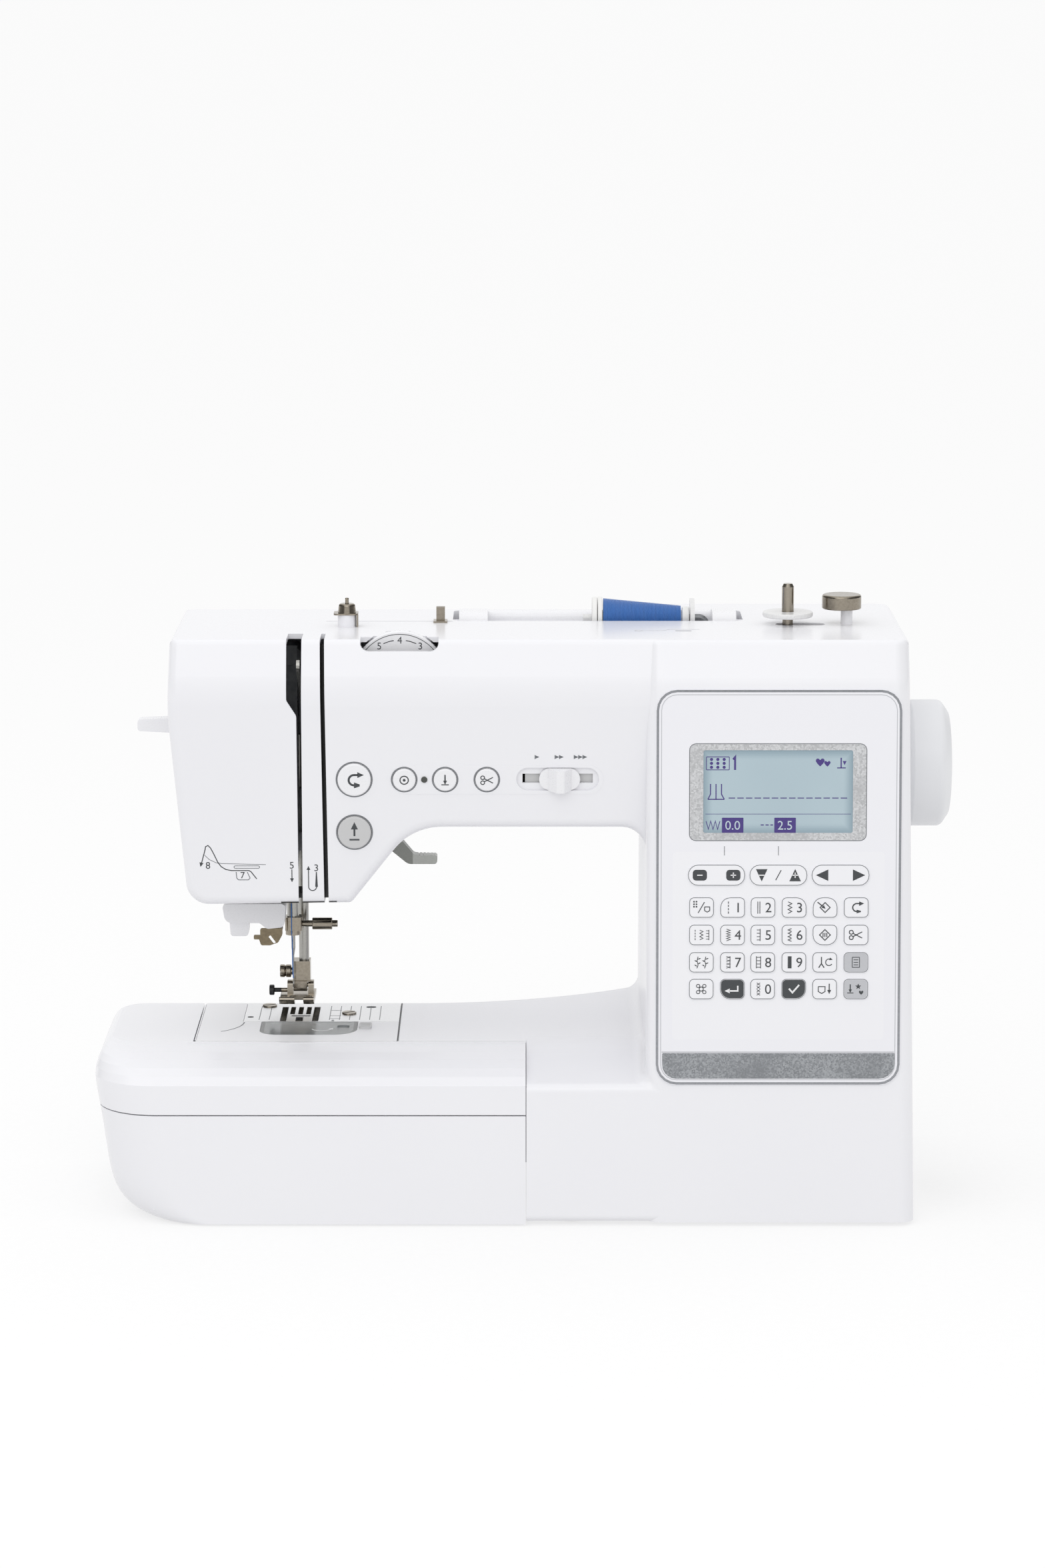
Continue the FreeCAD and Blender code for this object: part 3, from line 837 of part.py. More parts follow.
def build_feed():
    """Toothed feed dog that slides under the slots of the needle plate."""
    plate = box(-127, -84, 2, 22, FEED_LOW, FEED_LOW + 2.6)
    bars = []
    for x, y0, y1, width in FEED_ROWS:
        pitch = 1.5
        teeth = max(int((y1 - y0) / pitch), 2)
        corners = [(y0, FEED_LOW, 0)]
        for i in range(teeth):
            start = y0 + i * (y1 - y0) / teeth
            corners += [(start, FEED_TOP - 0.8, 0), (start + 0.6 * (y1 - y0) / teeth, FEED_TOP, 0)]
        corners += [(y1, FEED_TOP - 0.8, 0), (y1, FEED_LOW, 0)]
        bars.append(prism_x(corners, STITCH_X + x - width / 2, STITCH_X + x + width / 2))
    way = prism_z(rectangle(NEEDLE_X - 2.6, NEEDLE_X + 9.6, NEEDLE_Y - 4.2, NEEDLE_Y + 4.2, 1), 60, FEED_TOP + 1)
    export("feed_dog", joined([plate] + bars).cut(way.common(box(STITCH_X - 6.4, STITCH_X + 6.4, -10, 40, 60, 90))))


def build_threader():
    """Needle threader: side lever, rod, cradle under the head, and the hook plate."""
    rod_z0 = 141.0
    lever = prism_y([(-191.0, 227.4, 1.6), (-191.0, 233.0, 1.6), (-176, 233.6, 0), (THREADER_X + 5, 233.6, 1),
                     (THREADER_X + 5, 226.6, 1), (-176, 226.6, 0)], THREADER_Y - 4.2, THREADER_Y + 4.2)
    stem = rod(2.5, (THREADER_X, THREADER_Y, rod_z0 - 2), (THREADER_X, THREADER_Y, 230))
    cradle = prism_y([(-150.0, 142.2, 2), (-118.6, 142.2, 2), (-119.4, 130.6, 2.5), (-128, 129.6, 3),
                      (-131.5, 132.6, 2), (-148.5, 132.6, 4)], -12, 3.2)
    tab = prism_y([(-146.6, 133.0, 0), (-136.8, 133.0, 0), (-137.4, 125.4, 1.6), (-146.0, 125.4, 1.6)], -9, 1)
    export("needle_threader", joined([lever, stem, cradle, tab]))
    web = prism_y([(-134.6, 126.2, 0.6), (-131.4, 126.2, 0), (-131.4, 129.6, 1), (-120.4, 129.6, 1), (-120.4, 126.4, 3),
                   (-122.6, 122.4, 1.2), (-126.6, 121.0, 1), (-131.0, 121.0, 1), (-132.0, 124.0, 0),
                   (-134.6, 124.0, 0.6)], -10.2, -9.2)
    notch = prism_y([(-126.4, 126.2, 0.4), (-123.6, 122.4, 0.4), (-124.8, 121.8, 0.4), (-127.4, 125.2, 0.4)], -11, -8)
    hook = joined([web.cut(notch), box(-127.6, -120.4, -10.2, -4.0, 128.6, 129.6)])
    export("threader_hook", hook)


def build_controls():
    for name, x, z, radius in BUTTONS:
        export(name, on_arm(x, z, button(radius)))
    export("speed_slider", speed_slider())
    dial = turned([(0, 0, 0), (0, DIAL_R - 0.7, 0), (0.8, DIAL_R - 0.1, 0.4), (4.0, DIAL_R - 0.1, 0.4), (4.0, 0, 0)],
                  (DIAL_X, DIAL_Y, DIAL_Z), (0, 1, 0))
    knurls = []
    for i in range(60):
        notch = rod(0.55, (DIAL_R + 0.1, 1.0, 0), (DIAL_R + 0.1, 6.0, 0))
        notch.rotate(V(0, 0, 0), V(0, 1, 0), i * 6.0)
        notch.translate(V(DIAL_X, DIAL_Y, DIAL_Z))
        knurls.append(notch)
    bore = rod(3.0 + RUN, (DIAL_X, DIAL_Y - 5, DIAL_Z), (DIAL_X, DIAL_Y + 10, DIAL_Z))
    export("tension_dial", dial.cut(knurls + [bore]))


KEY_COLUMNS = [15.8, 30.7, 45.2, 60.1, 74.9, 89.8]
KEY_ROWS = [41.5, 54.4, 67.6, 80.8]
KEY_W, KEY_H = 12.0, 10.0
KEY_R, KEY_END_R = 2.4, 4.8
KEY_ENDS = {(1, 3): (3,), (3, 3): (2,), (4, 3): (2, 3), (4, 2): (0, 1), (1, 0): (0,), (3, 0): (1,)}   # rounder corners
PILL_KEYS = [(15.2, 42.7), (44.6, 72.4), (74.3, 102.1)]
PILL_V = (96.2, 106.5)
WINDOW = (22.5, 93.9, 121.6, 161.2)
SHEET = (8.0, 109.3, 22.0, 112.5)
BAND = (3.2, 114.8, 1.6, 15.4)


def build_panel():
    """Control panel on the pillar: bezel plate, keypad sheet, display window and board."""
    plate = on_panel(0, PANEL_W, 0, PANEL_H, 1.2, PANEL_PROUD, PANEL_R)
    tongue = on_panel(0.7, PANEL_W - 0.7, 0.7, PANEL_H - 0.7, 3.4, 0, PANEL_R - 0.7)
    u0, u1, v0, v1 = WINDOW
    plate = joined([plate, tongue]).cut(on_panel(u0, u1, v0, v1, 12, 5, 1.0))
    s0, s1, s2, s3 = SHEET
    plate = plate.cut(on_panel(s0, s1, s2, s3, -PANEL_PROUD + 0.8, 5, 2.0))
    export("control_panel", plate)
    sheet = [on_panel(s0, s1, s2, s3, -PANEL_PROUD + 0.8, PANEL_PROUD, 2.0)]
    for row, v in enumerate(KEY_ROWS):
        for column, u in enumerate(KEY_COLUMNS):
            ends = KEY_ENDS.get((column, row), ())
            radii = [KEY_END_R if i in ends else KEY_R for i in range(4)]
            sheet.append(on_panel(u, u + KEY_W, v, v + KEY_H, 0, PANEL_PROUD + 0.7, radii))
    sheet += [on_panel(a, b, PILL_V[0], PILL_V[1], 0, PANEL_PROUD + 0.7, 4.9) for a, b in PILL_KEYS]
    export("membrane_keypad", joined(sheet))
    export("display_window", on_panel(u0, u1, v0, v1, 3.0, PANEL_PROUD - 0.3, 1.0))
    board = on_panel(6, PANEL_W - 6, 12, PANEL_H - 12, 9.0, -7.4)
    pegs = [on_panel(u, u + 5, v, v + 5, 7.4, -3.4) for u in (10, PANEL_W - 15) for v in (14, PANEL_H - 19)]
    module = on_panel(u0 + 2, u1 - 2, v0 + 2, v1 - 2, 7.4, -3.0)
    export("circuit_board", joined([board, module] + pegs))


def build_top_parts():
    """Winder, thread guides, spool, spool pin and carry handle on the top."""
    slide = box(WINDER_X - 9, WINDER_X + 9, WINDER_Y - 8, WINDER_Y + 8, TOP_Z - 13, TOP_Z - WALL - GAP)
    slide = slide.cut(rod(2.6 + RUN, (WINDER_X, WINDER_Y, TOP_Z - 20), (WINDER_X, WINDER_Y, TOP_Z)))
    export("winder_slide", slide)
    spindle = turned([(-17, 0, 0), (-17, 4.2, 0), (-13.5, 4.2, 0), (-13.5, 2.6, 0), (3.8, 2.6, 0), (3.8, 12.3, 0.8),
                      (6.3, 12.3, 0.8), (6.3, WINDER_PIN_R, 0), (18.5, WINDER_PIN_R, 0), (20, 2.1, 0), (20, 0, 0)],
                     (WINDER_X, WINDER_Y, TOP_Z), (0, 0, 1))
    export("winder_spindle", spindle)
    knob = turned([(STOP_Z, 0, 0), (STOP_Z, 9.6, 0.6), (STOP_Z + 7, 9.6, 1.2), (STOP_Z + 7, 0, 0)],
                  (STOP_X, STOP_Y, 0), (0, 0, 1))
    export("winder_stop", knob)
    plate = prism_z(rectangle(GUIDE_X - 6.4, GUIDE_X + 5.5, GUIDE_Y - 5, GUIDE_Y + 5, 2.0), GUIDE_Z, GUIDE_Z + 0.8)
    nut = turned([(GUIDE_Z + 0.8, 0, 0), (GUIDE_Z + 0.8, 4.4, 0), (GUIDE_Z + 5.2, 3.9, 1.2), (GUIDE_Z + 5.2, 0.9, 0),
                  (GUIDE_Z + 8.0, 0.9, 0.4), (GUIDE_Z + 8.0, 0, 0)], (GUIDE_X, GUIDE_Y, 0), (0, 0, 1))
    leg = box(GUIDE_X + 4.7, GUIDE_X + 5.5, GUIDE_Y - 3, GUIDE_Y + 3, TOP_Z, GUIDE_Z + 0.4)
    clip = joined([box(-45.4, -38.6, 0, 8, TOP_Z, TOP_Z + 0.8), box(-44.0, -39.8, 3.4, 4.2, TOP_Z, TOP_Z + 7.4),
                   box(-44.0, -39.8, 3.4, 7.0, TOP_Z + 6.6, TOP_Z + 7.4)])
    clip = clip.translated(V(0, -4.0, 0))
    export("thread_guides", Part.makeCompound([joined([plate, nut, leg]), clip]))
    build_spool()
    x0, x1, y0, y1, floor = WELL
    left, right = (-33.0, -19.0), (91.7, 103.4)
    low, high = PIVOT_Z - 6, PIVOT_Z + 5
    arms = [prism_x([(SPOOL_Y - 7.4, PIVOT_Z - 7, 6.4), (SPOOL_Y - 7.4, PIVOT_Z + 7.2, 6.4),
                     (SPOOL_Y + 9, PIVOT_Z + 7.2, 5), (SPOOL_Y + 17, high, 5), (y1 - 1.5, high, 3), (y1 - 1.5, low, 3),
                     (SPOOL_Y + 12, low, 0)], a, b) for a, b in (left, right)]
    grip = prism_x(rectangle(y1 - 9.5, y1 - 1.5, low, high, 3.5), left[0], right[1])
    bores = [rod(3.0 + RUN, (x0 - 2, SPOOL_Y, PIVOT_Z), (x0 + 7.5, SPOOL_Y, PIVOT_Z)),
             rod(3.0 + RUN, (x1 + 2, SPOOL_Y, PIVOT_Z), (x1 - 7.5, SPOOL_Y, PIVOT_Z))]
    export("carry_handle", joined(arms + [grip]).cut(bores))


THREAD_X0, THREAD_X1 = 37.6, 76.7
THREAD_R0, THREAD_R1 = 9.0, 5.4
THREAD_D = 0.9
THREAD_TURNS = 24


def build_spool():
    """Spool pin, spool core, the wound thread on it, and the spool cap."""
    pin_r = 1.7
    bend = 3.5
    pin_x = 88.6
    path = Part.Wire([
        Part.LineSegment(V(pin_x, SPOOL_Y, WELL[4] - 1), V(pin_x, SPOOL_Y, SPOOL_Z - bend)).toShape(),
        Part.Arc(V(pin_x, SPOOL_Y, SPOOL_Z - bend),
                 V(pin_x - bend * (1 - math.sqrt(0.5)), SPOOL_Y, SPOOL_Z - bend * (1 - math.sqrt(0.5))),
                 V(pin_x - bend, SPOOL_Y, SPOOL_Z)).toShape(),
        Part.LineSegment(V(pin_x - bend, SPOOL_Y, SPOOL_Z), V(28.0, SPOOL_Y, SPOOL_Z)).toShape()])
    ring = Part.Wire([Part.makeCircle(pin_r, V(pin_x, SPOOL_Y, WELL[4] - 1), V(0, 0, 1))])
    wire = path.makePipeShell([ring], True, True)
    flange = tube(9.5, pin_r, (80.7, SPOOL_Y, SPOOL_Z), (82.9, SPOOL_Y, SPOOL_Z))
    base = rod(2.8, (pin_x, SPOOL_Y, WELL[4]), (pin_x, SPOOL_Y, WELL[4] + 2))
    wire = wire.cut(box(80, 95, 0, 30, WELL[4] - 5, WELL[4]))
    export("spool_pin", joined([wire, flange, base]))
    core = turned([(35.2, pin_r + GAP, 0), (35.2, 10.3, 0.6), (THREAD_X0 - 0.1, 10.3, 0.6), (THREAD_X0 - 0.1, 3.6, 0),
                   (THREAD_X1 + 0.1, 3.6, 0), (THREAD_X1 + 0.1, 5.3, 0.5), (80.3, 5.3, 0.5), (80.3, pin_r + GAP, 0)],
                  (0, SPOOL_Y, SPOOL_Z), (1, 0, 0))
    export("spool_core", core)
    cap = turned([(32.4, pin_r + GAP, 0), (32.4, 10.2, 0.7), (34.9, 10.2, 0.7), (34.9, pin_r + GAP, 0)],
                 (0, SPOOL_Y, SPOOL_Z), (1, 0, 0))
    export("spool_cap", cap)
    export("thread_winding", wound_thread())


def wound_thread():
    """Plain wound mass, and the outer layer laid on it as one unbroken tapering coil."""
    length = THREAD_X1 - THREAD_X0
    mass = turned([(THREAD_X0, 3.6, 0), (THREAD_X0, THREAD_R0, 0), (THREAD_X1, THREAD_R1, 0), (THREAD_X1, 3.6, 0)],
                  (0, SPOOL_Y, SPOOL_Z), (1, 0, 0))
    margin = THREAD_D
    run = length - 2 * margin
    def on_coil(turn):
        share = turn / THREAD_TURNS
        x = THREAD_X0 + margin + run * share
        radius = THREAD_R0 + (THREAD_R1 - THREAD_R0) * (x - THREAD_X0) / length + THREAD_D / 2 + 0.05
        angle = 2 * math.pi * turn
        return V(x, SPOOL_Y + radius * math.cos(angle), SPOOL_Z + radius * math.sin(angle))
    steps = THREAD_TURNS * 4
    edges = [Part.Arc(on_coil(i / 4), on_coil(i / 4 + 0.125), on_coil((i + 1) / 4)).toShape() for i in range(steps)]
    lead = (on_coil(0) - on_coil(0.002)).normalize()
    trail = (on_coil(THREAD_TURNS) - on_coil(THREAD_TURNS - 0.002)).normalize()
    start = on_coil(0) + lead * THREAD_D
    end = on_coil(THREAD_TURNS) + trail * THREAD_D
    edges = [Part.LineSegment(start, on_coil(0)).toShape()] + edges
    edges.append(Part.LineSegment(on_coil(THREAD_TURNS), end).toShape())
    ring = Part.Wire([Part.makeCircle(THREAD_D / 2, start, lead)])
    coil = Part.Wire(edges).makePipeShell([ring], True, False)
    spacing = min((on_coil(i / 40) - on_coil(i / 40 + 1)).Length for i in range((THREAD_TURNS - 1) * 40))
    print("thread winding: least gap to itself %.2f mm" % (spacing - THREAD_D))
    return Part.makeCompound([mass, coil])


os.makedirs("parts", exist_ok=True)
build_casings()
build_sockets()
build_table()
build_feet()
build_bed()
build_frame()
build_drive()
build_needle()
build_presser()
build_feed()
build_threader()
build_controls()
build_panel()
build_top_parts()
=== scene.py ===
import math

import bmesh
import bpy
from mathutils import Matrix, Vector


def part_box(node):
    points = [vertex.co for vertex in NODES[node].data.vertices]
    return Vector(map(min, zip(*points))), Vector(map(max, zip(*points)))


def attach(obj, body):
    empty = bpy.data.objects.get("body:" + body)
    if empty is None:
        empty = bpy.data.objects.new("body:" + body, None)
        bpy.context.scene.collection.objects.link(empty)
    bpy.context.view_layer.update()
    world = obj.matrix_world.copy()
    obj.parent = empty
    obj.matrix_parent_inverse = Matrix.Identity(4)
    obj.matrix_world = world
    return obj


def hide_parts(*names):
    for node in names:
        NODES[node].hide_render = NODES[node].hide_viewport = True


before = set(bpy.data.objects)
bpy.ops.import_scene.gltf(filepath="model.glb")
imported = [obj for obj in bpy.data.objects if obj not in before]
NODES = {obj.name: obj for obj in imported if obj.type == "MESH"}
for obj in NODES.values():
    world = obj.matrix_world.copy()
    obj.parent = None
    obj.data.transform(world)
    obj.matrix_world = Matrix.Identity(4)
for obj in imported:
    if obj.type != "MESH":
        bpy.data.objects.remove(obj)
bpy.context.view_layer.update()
MM = 0.001

# Sizes below are millimetres in the machine's own frame: X to the hand wheel, Y to the back, Z up.
BED_Z, TOP_Z = 81.0, 281.0
CREASE_Z, CREASE_Y = 257.0, -66.4          # bend across the arm front
ARM_TOP_Y = -60.0
ARM_LEAN = 11.5 / 117.0                    # how far the front falls back for each millimetre down
TOP_LEAN = (ARM_TOP_Y - CREASE_Y) / (TOP_Z - CREASE_Z)
# Bounds of the painted shade inside the thread channel
CHANNEL_X, CHANNEL_HALF_W = -105.0, 13.5   # thread channel behind the two slots of the head
CHANNEL_Z, CHANNEL_HALF_H = 207.5, 70.0
CHANNEL_DEEP = 40.0
PANEL_X0, PANEL_Z0 = 62.0, 68.8
PANEL_W, PANEL_H, PANEL_R = 117.3, 190.2, 10.0
PANEL_PROUD, KEY_PROUD = 0.8, 1.5
(LOW_Z, LOW_Y), (HIGH_Z, HIGH_Y) = (2.0, -90.0), (281.0, -66.0)   # pillar front at its foot and its top
PANEL_LEAN = math.atan2(HIGH_Y - LOW_Y, HIGH_Z - LOW_Z)
DISPLAY_MIDDLE, DISPLAY_HALF = (58.2, 141.4), (35.7, 19.7)        # display window on the panel
PRINT_HALF = 0.05                          # half the thickness of a print
BUTTON_PROUD, BUTTON_ROW_Z = 1.4, 213.7
BUTTON_SPOTS = {   # X, Z and radius of each push button
    "reverse": (-82.5, BUTTON_ROW_Z, 8.0), "reinforce": (-58.5, BUTTON_ROW_Z, 5.5),
    "needle_position": (-38.9, BUTTON_ROW_Z, 5.5), "cutter": (-18.9, BUTTON_ROW_Z, 5.5),
    "start_stop": (-82.6, 187.5, 8.0),
}
DIAL_X, DIAL_Y, DIAL_Z = -60.6, -51.5, 261.0
DIAL_FIGURE_R, DIAL_RIM_R = 18.6, 21.4
SPOOL_X, SPOOL_Y, SPOOL_Z = 38.0, 15.0, 281.0
WINDER_X, WINDER_Y = 127.7, -8.0
FIGURE_SHARE = 0.69                        # height of a figure in the plain typeface of size 1

# The photograph's camera and the floor
PHOTO_H, FOCAL, SENSOR = 2352, 6800, 36    # picture height and focal length in pixels, sensor in millimetres
CAMERA_PLACE, CAMERA_TILT = (-0.0018, -2.2, 0.6), 10.3            # metres, and degrees down from level
FLOOR_X, FLOOR_NEAR, FLOOR_FAR = 14, -4, 90                       # metres


def colour(code):
    """Linear colour of an sRGB hex value."""
    parts = [int(code[i:i + 2], 16) / 255 for i in (1, 3, 5)]
    return tuple(c / 12.92 if c <= 0.04045 else ((c + 0.055) / 1.055) ** 2.4 for c in parts) + (1.0,)


def add(tree, kind, inputs=None, **settings):
    """One node with its settings; an input is a plain value or the socket that feeds it."""
    node = tree.nodes.new(kind)
    for name, value in settings.items():
        setattr(node, name, value)
    for socket, value in (inputs or {}).items():
        if isinstance(value, bpy.types.NodeSocket):
            tree.links.new(value, node.inputs[socket])
        else:
            node.inputs[socket].default_value = value
    return node


def start_material(name):
    """New material with its shader and the piece's own coordinates."""
    made = bpy.data.materials.new(name)
    made.use_nodes = True
    tree = made.node_tree
    tree.nodes.clear()
    shader = add(tree, "ShaderNodeBsdfPrincipled")
    add(tree, "ShaderNodeOutputMaterial", {"Surface": shader.outputs[0]})
    place = add(tree, "ShaderNodeTexCoord").outputs["Object"]
    return made, tree, shader, place


def per_mm(size):
    """Texture scale that gives one feature every so many millimetres."""
    return 1000.0 / size


def moulded(name, main, shade, rough, grain=0.7, depth=0.012, ior=1.53):
    """Moulded plastic: two close tones in broad patches, a fine mould grain and an uneven gloss.
    The grain is drawn coarser than a tenth of a millimetre, which is too fine to show."""
    made, tree, shader, place = start_material(name)
    broad = add(tree, "ShaderNodeTexNoise", {"Vector": place, "Scale": per_mm(90), "Detail": 2.0})
    tone = add(tree, "ShaderNodeMix", {0: broad.outputs["Fac"], 6: colour(main), 7: colour(shade)},
               data_type="RGBA")
    fine = add(tree, "ShaderNodeTexNoise", {"Vector": place, "Scale": per_mm(grain), "Detail": 3.0})
    gloss = add(tree, "ShaderNodeMapRange", {"Value": fine.outputs["Fac"], "To Min": rough - 0.05,
                                             "To Max": rough + 0.06})
    bump = add(tree, "ShaderNodeBump", {"Height": fine.outputs["Fac"], "Strength": 0.35,
                                        "Distance": depth * MM})
    shader.inputs["IOR"].default_value = ior
    tree.links.new(tone.outputs[2], shader.inputs["Base Color"])
    tree.links.new(gloss.outputs[0], shader.inputs["Roughness"])
    tree.links.new(bump.outputs[0], shader.inputs["Normal"])
    return made, tree, shader, place


def metal(name, main, shade, rough, streak=(1, 1, 1), scale=1.2, depth=0.004):
    """Bare or plated metal: two tones and a gloss that follow fine marks, long ones where it is ground or
    brushed. The marks are drawn coarser than real ones, which are too fine to show."""
    made, tree, shader, place = start_material(name)
    drawn = add(tree, "ShaderNodeMapping", {"Vector": place, "Scale": streak})
    marks = add(tree, "ShaderNodeTexNoise",
                {"Vector": drawn.outputs[0], "Scale": per_mm(scale), "Detail": 4.0})
    tone = add(tree, "ShaderNodeMix", {0: marks.outputs["Fac"], 6: colour(main), 7: colour(shade)},
               data_type="RGBA")
    gloss = add(tree, "ShaderNodeMapRange", {"Value": marks.outputs["Fac"], "To Min": rough * 0.7,
                                             "To Max": rough * 1.35})
    bump = add(tree, "ShaderNodeBump", {"Height": marks.outputs["Fac"], "Strength": 0.3,
                                        "Distance": depth * MM})
    shader.inputs["Metallic"].default_value = 1.0
    tree.links.new(tone.outputs[2], shader.inputs["Base Color"])
    tree.links.new(gloss.outputs[0], shader.inputs["Roughness"])
    tree.links.new(bump.outputs[0], shader.inputs["Normal"])
    return made, tree, shader, place


def flake_paint(name, dark, light, flake, rough, metallic):
    """Metallic flake paint: small cells of differing brightness under a clear coat.
    The flakes are drawn larger than real ones, which are too fine to show."""
    made, tree, shader, place = start_material(name)
    cells = add(tree, "ShaderNodeTexVoronoi", {"Vector": place, "Scale": per_mm(flake)})
    grey = add(tree, "ShaderNodeRGBToBW", {"Color": cells.outputs["Color"]})
    broad = add(tree, "ShaderNodeTexNoise", {"Vector": place, "Scale": per_mm(25), "Detail": 2.0})
    blend = add(tree, "ShaderNodeMath", {0: grey.outputs[0], 1: broad.outputs["Fac"]}, operation="MULTIPLY")
    spread = add(tree, "ShaderNodeMapRange", {"Value": blend.outputs[0], "From Min": 0.12, "From Max": 0.42})
    tone = add(tree, "ShaderNodeMix", {0: spread.outputs[0], 6: colour(dark), 7: colour(light)},
               data_type="RGBA")
    bump = add(tree, "ShaderNodeBump", {"Height": grey.outputs[0], "Strength": 0.25, "Distance": 0.01 * MM})
    shader.inputs["Metallic"].default_value = metallic
    shader.inputs["Roughness"].default_value = rough
    shader.inputs["Coat Weight"].default_value = 0.4
    shader.inputs["Coat Roughness"].default_value = 0.2
    tree.links.new(tone.outputs[2], shader.inputs["Base Color"])
    tree.links.new(bump.outputs[0], shader.inputs["Normal"])
    return made


def printing_ink(name, main, shade, rough):
    """Screen-printed ink: almost flat, with the slight mottle of the mesh it was pressed through,
    drawn coarser than a real mesh, which is too fine to show."""
    made, tree, shader, place = start_material(name)
    mottle = add(tree, "ShaderNodeTexNoise", {"Vector": place, "Scale": per_mm(0.8), "Detail": 2.0})
    tone = add(tree, "ShaderNodeMix", {0: mottle.outputs["Fac"], 6: colour(main), 7: colour(shade)},
               data_type="RGBA")
    gloss = add(tree, "ShaderNodeMapRange", {"Value": mottle.outputs["Fac"], "To Min": rough - 0.06,
                                             "To Max": rough + 0.06})
    tree.links.new(tone.outputs[2], shader.inputs["Base Color"])
    tree.links.new(gloss.outputs[0], shader.inputs["Roughness"])
    return made


def casing_plastic():
    """ABS, injection moulded in a satin tool: clean white with a faint lavender cast and a soft broad sheen.
    Behind the thread slots the moulding is painted near black: painted shade of the deep thread channel."""
    made, tree, shader, place = moulded("abs_white_satin_moulded", "#F1F1F4", "#EEEEF2", 0.22)
    tone = shader.inputs["Base Color"].links[0].from_socket
    axes = add(tree, "ShaderNodeSeparateXYZ", {"Vector": place}).outputs
    low = add(tree, "ShaderNodeMath", {0: axes["Z"], 1: -ARM_LEAN, 2: (CREASE_Y + CREASE_Z * ARM_LEAN) * MM},
              operation="MULTIPLY_ADD")
    high = add(tree, "ShaderNodeMath", {0: axes["Z"], 1: TOP_LEAN, 2: (CREASE_Y - CREASE_Z * TOP_LEAN) * MM},
               operation="MULTIPLY_ADD")
    front = add(tree, "ShaderNodeMath", {0: low.outputs[0], 1: high.outputs[0]}, operation="MAXIMUM")
    behind = add(tree, "ShaderNodeMath", {0: axes["Y"], 1: front.outputs[0]}, operation="SUBTRACT")
    # Painted shade: faces more than a millimetre behind the front, within the thread channel, turn near black
    deep = add(tree, "ShaderNodeMapRange", {"Value": behind.outputs[0], "From Min": 0.9 * MM,
                                            "From Max": 1.6 * MM})
    across = add(tree, "ShaderNodeMath", {0: axes["X"], 1: CHANNEL_X * MM, 2: CHANNEL_HALF_W * MM},
                 operation="COMPARE")
    tall = add(tree, "ShaderNodeMath", {0: axes["Z"], 1: CHANNEL_Z * MM, 2: CHANNEL_HALF_H * MM},
               operation="COMPARE")
    near = add(tree, "ShaderNodeMath", {0: behind.outputs[0], 1: CHANNEL_DEEP * MM}, operation="LESS_THAN")
    inside = deep
    for limit in (across, tall, near):
        inside = add(tree, "ShaderNodeMath", {0: inside.outputs[0], 1: limit.outputs[0]},
                     operation="MULTIPLY")
    tone_with_channel_shade = add(tree, "ShaderNodeMix", {0: inside.outputs[0], 6: tone, 7: colour("#1B1A1A")},
                data_type="RGBA")
    tree.links.new(tone_with_channel_shade.outputs[2], shader.inputs["Base Color"])
    return made


def display_glass():
    """Liquid crystal display under a polished acrylic window: pale blue-grey, with painted shade darkening it
    towards its rim.
    """
    made, tree, shader, place = start_material("lcd_glass_polished")
    axes = add(tree, "ShaderNodeSeparateXYZ", {"Vector": place}).outputs
    middle = (PANEL_X0 + DISPLAY_MIDDLE[0], PANEL_Z0 + DISPLAY_MIDDLE[1] * math.cos(PANEL_LEAN))
    # Painted shade: the last 5 mm towards each edge of the window darken to a deeper blue-grey
    edges = []
    for axis, centre, reach in zip("XZ", middle, DISPLAY_HALF):
        off = add(tree, "ShaderNodeMath", {0: axes[axis], 1: centre * MM}, operation="SUBTRACT")
        size = add(tree, "ShaderNodeMath", {0: off.outputs[0]}, operation="ABSOLUTE")
        edges.append(add(tree, "ShaderNodeMapRange",
                         {"Value": size.outputs[0], "From Min": (reach - 5) * MM, "From Max": reach * MM},
                         interpolation_type="SMOOTHSTEP"))
    rim = add(tree, "ShaderNodeMath", {0: edges[0].outputs[0], 1: edges[1].outputs[0]}, operation="MAXIMUM")
    cloud = add(tree, "ShaderNodeTexNoise", {"Vector": place, "Scale": per_mm(45), "Detail": 1.0})
    tone = add(tree, "ShaderNodeMix", {0: cloud.outputs["Fac"], 6: colour("#A9BCC6"), 7: colour("#B9CBD2")},
               data_type="RGBA")
    shaded = add(tree, "ShaderNodeMix", {0: rim.outputs[0], 6: tone.outputs[2], 7: colour("#93A8B3")},
                 data_type="RGBA")
    tree.links.new(shaded.outputs[2], shader.inputs["Base Color"])
    shader.inputs["Roughness"].default_value = 0.12
    return made


def clear_plastic(name, tint, rough):
    """Clear polystyrene: light passes with a faint grey tint, edges read a little darker."""
    made, tree, shader, place = start_material(name)
    haze = add(tree, "ShaderNodeTexNoise", {"Vector": place, "Scale": per_mm(6), "Detail": 2.0})
    gloss = add(tree, "ShaderNodeMapRange", {"Value": haze.outputs["Fac"], "To Min": rough * 0.6,
                                             "To Max": rough * 1.6})
    shader.inputs["Base Color"].default_value = colour(tint)
    shader.inputs["Transmission Weight"].default_value = 0.85
    shader.inputs["IOR"].default_value = 1.3
    tree.links.new(gloss.outputs[0], shader.inputs["Roughness"])
    return made


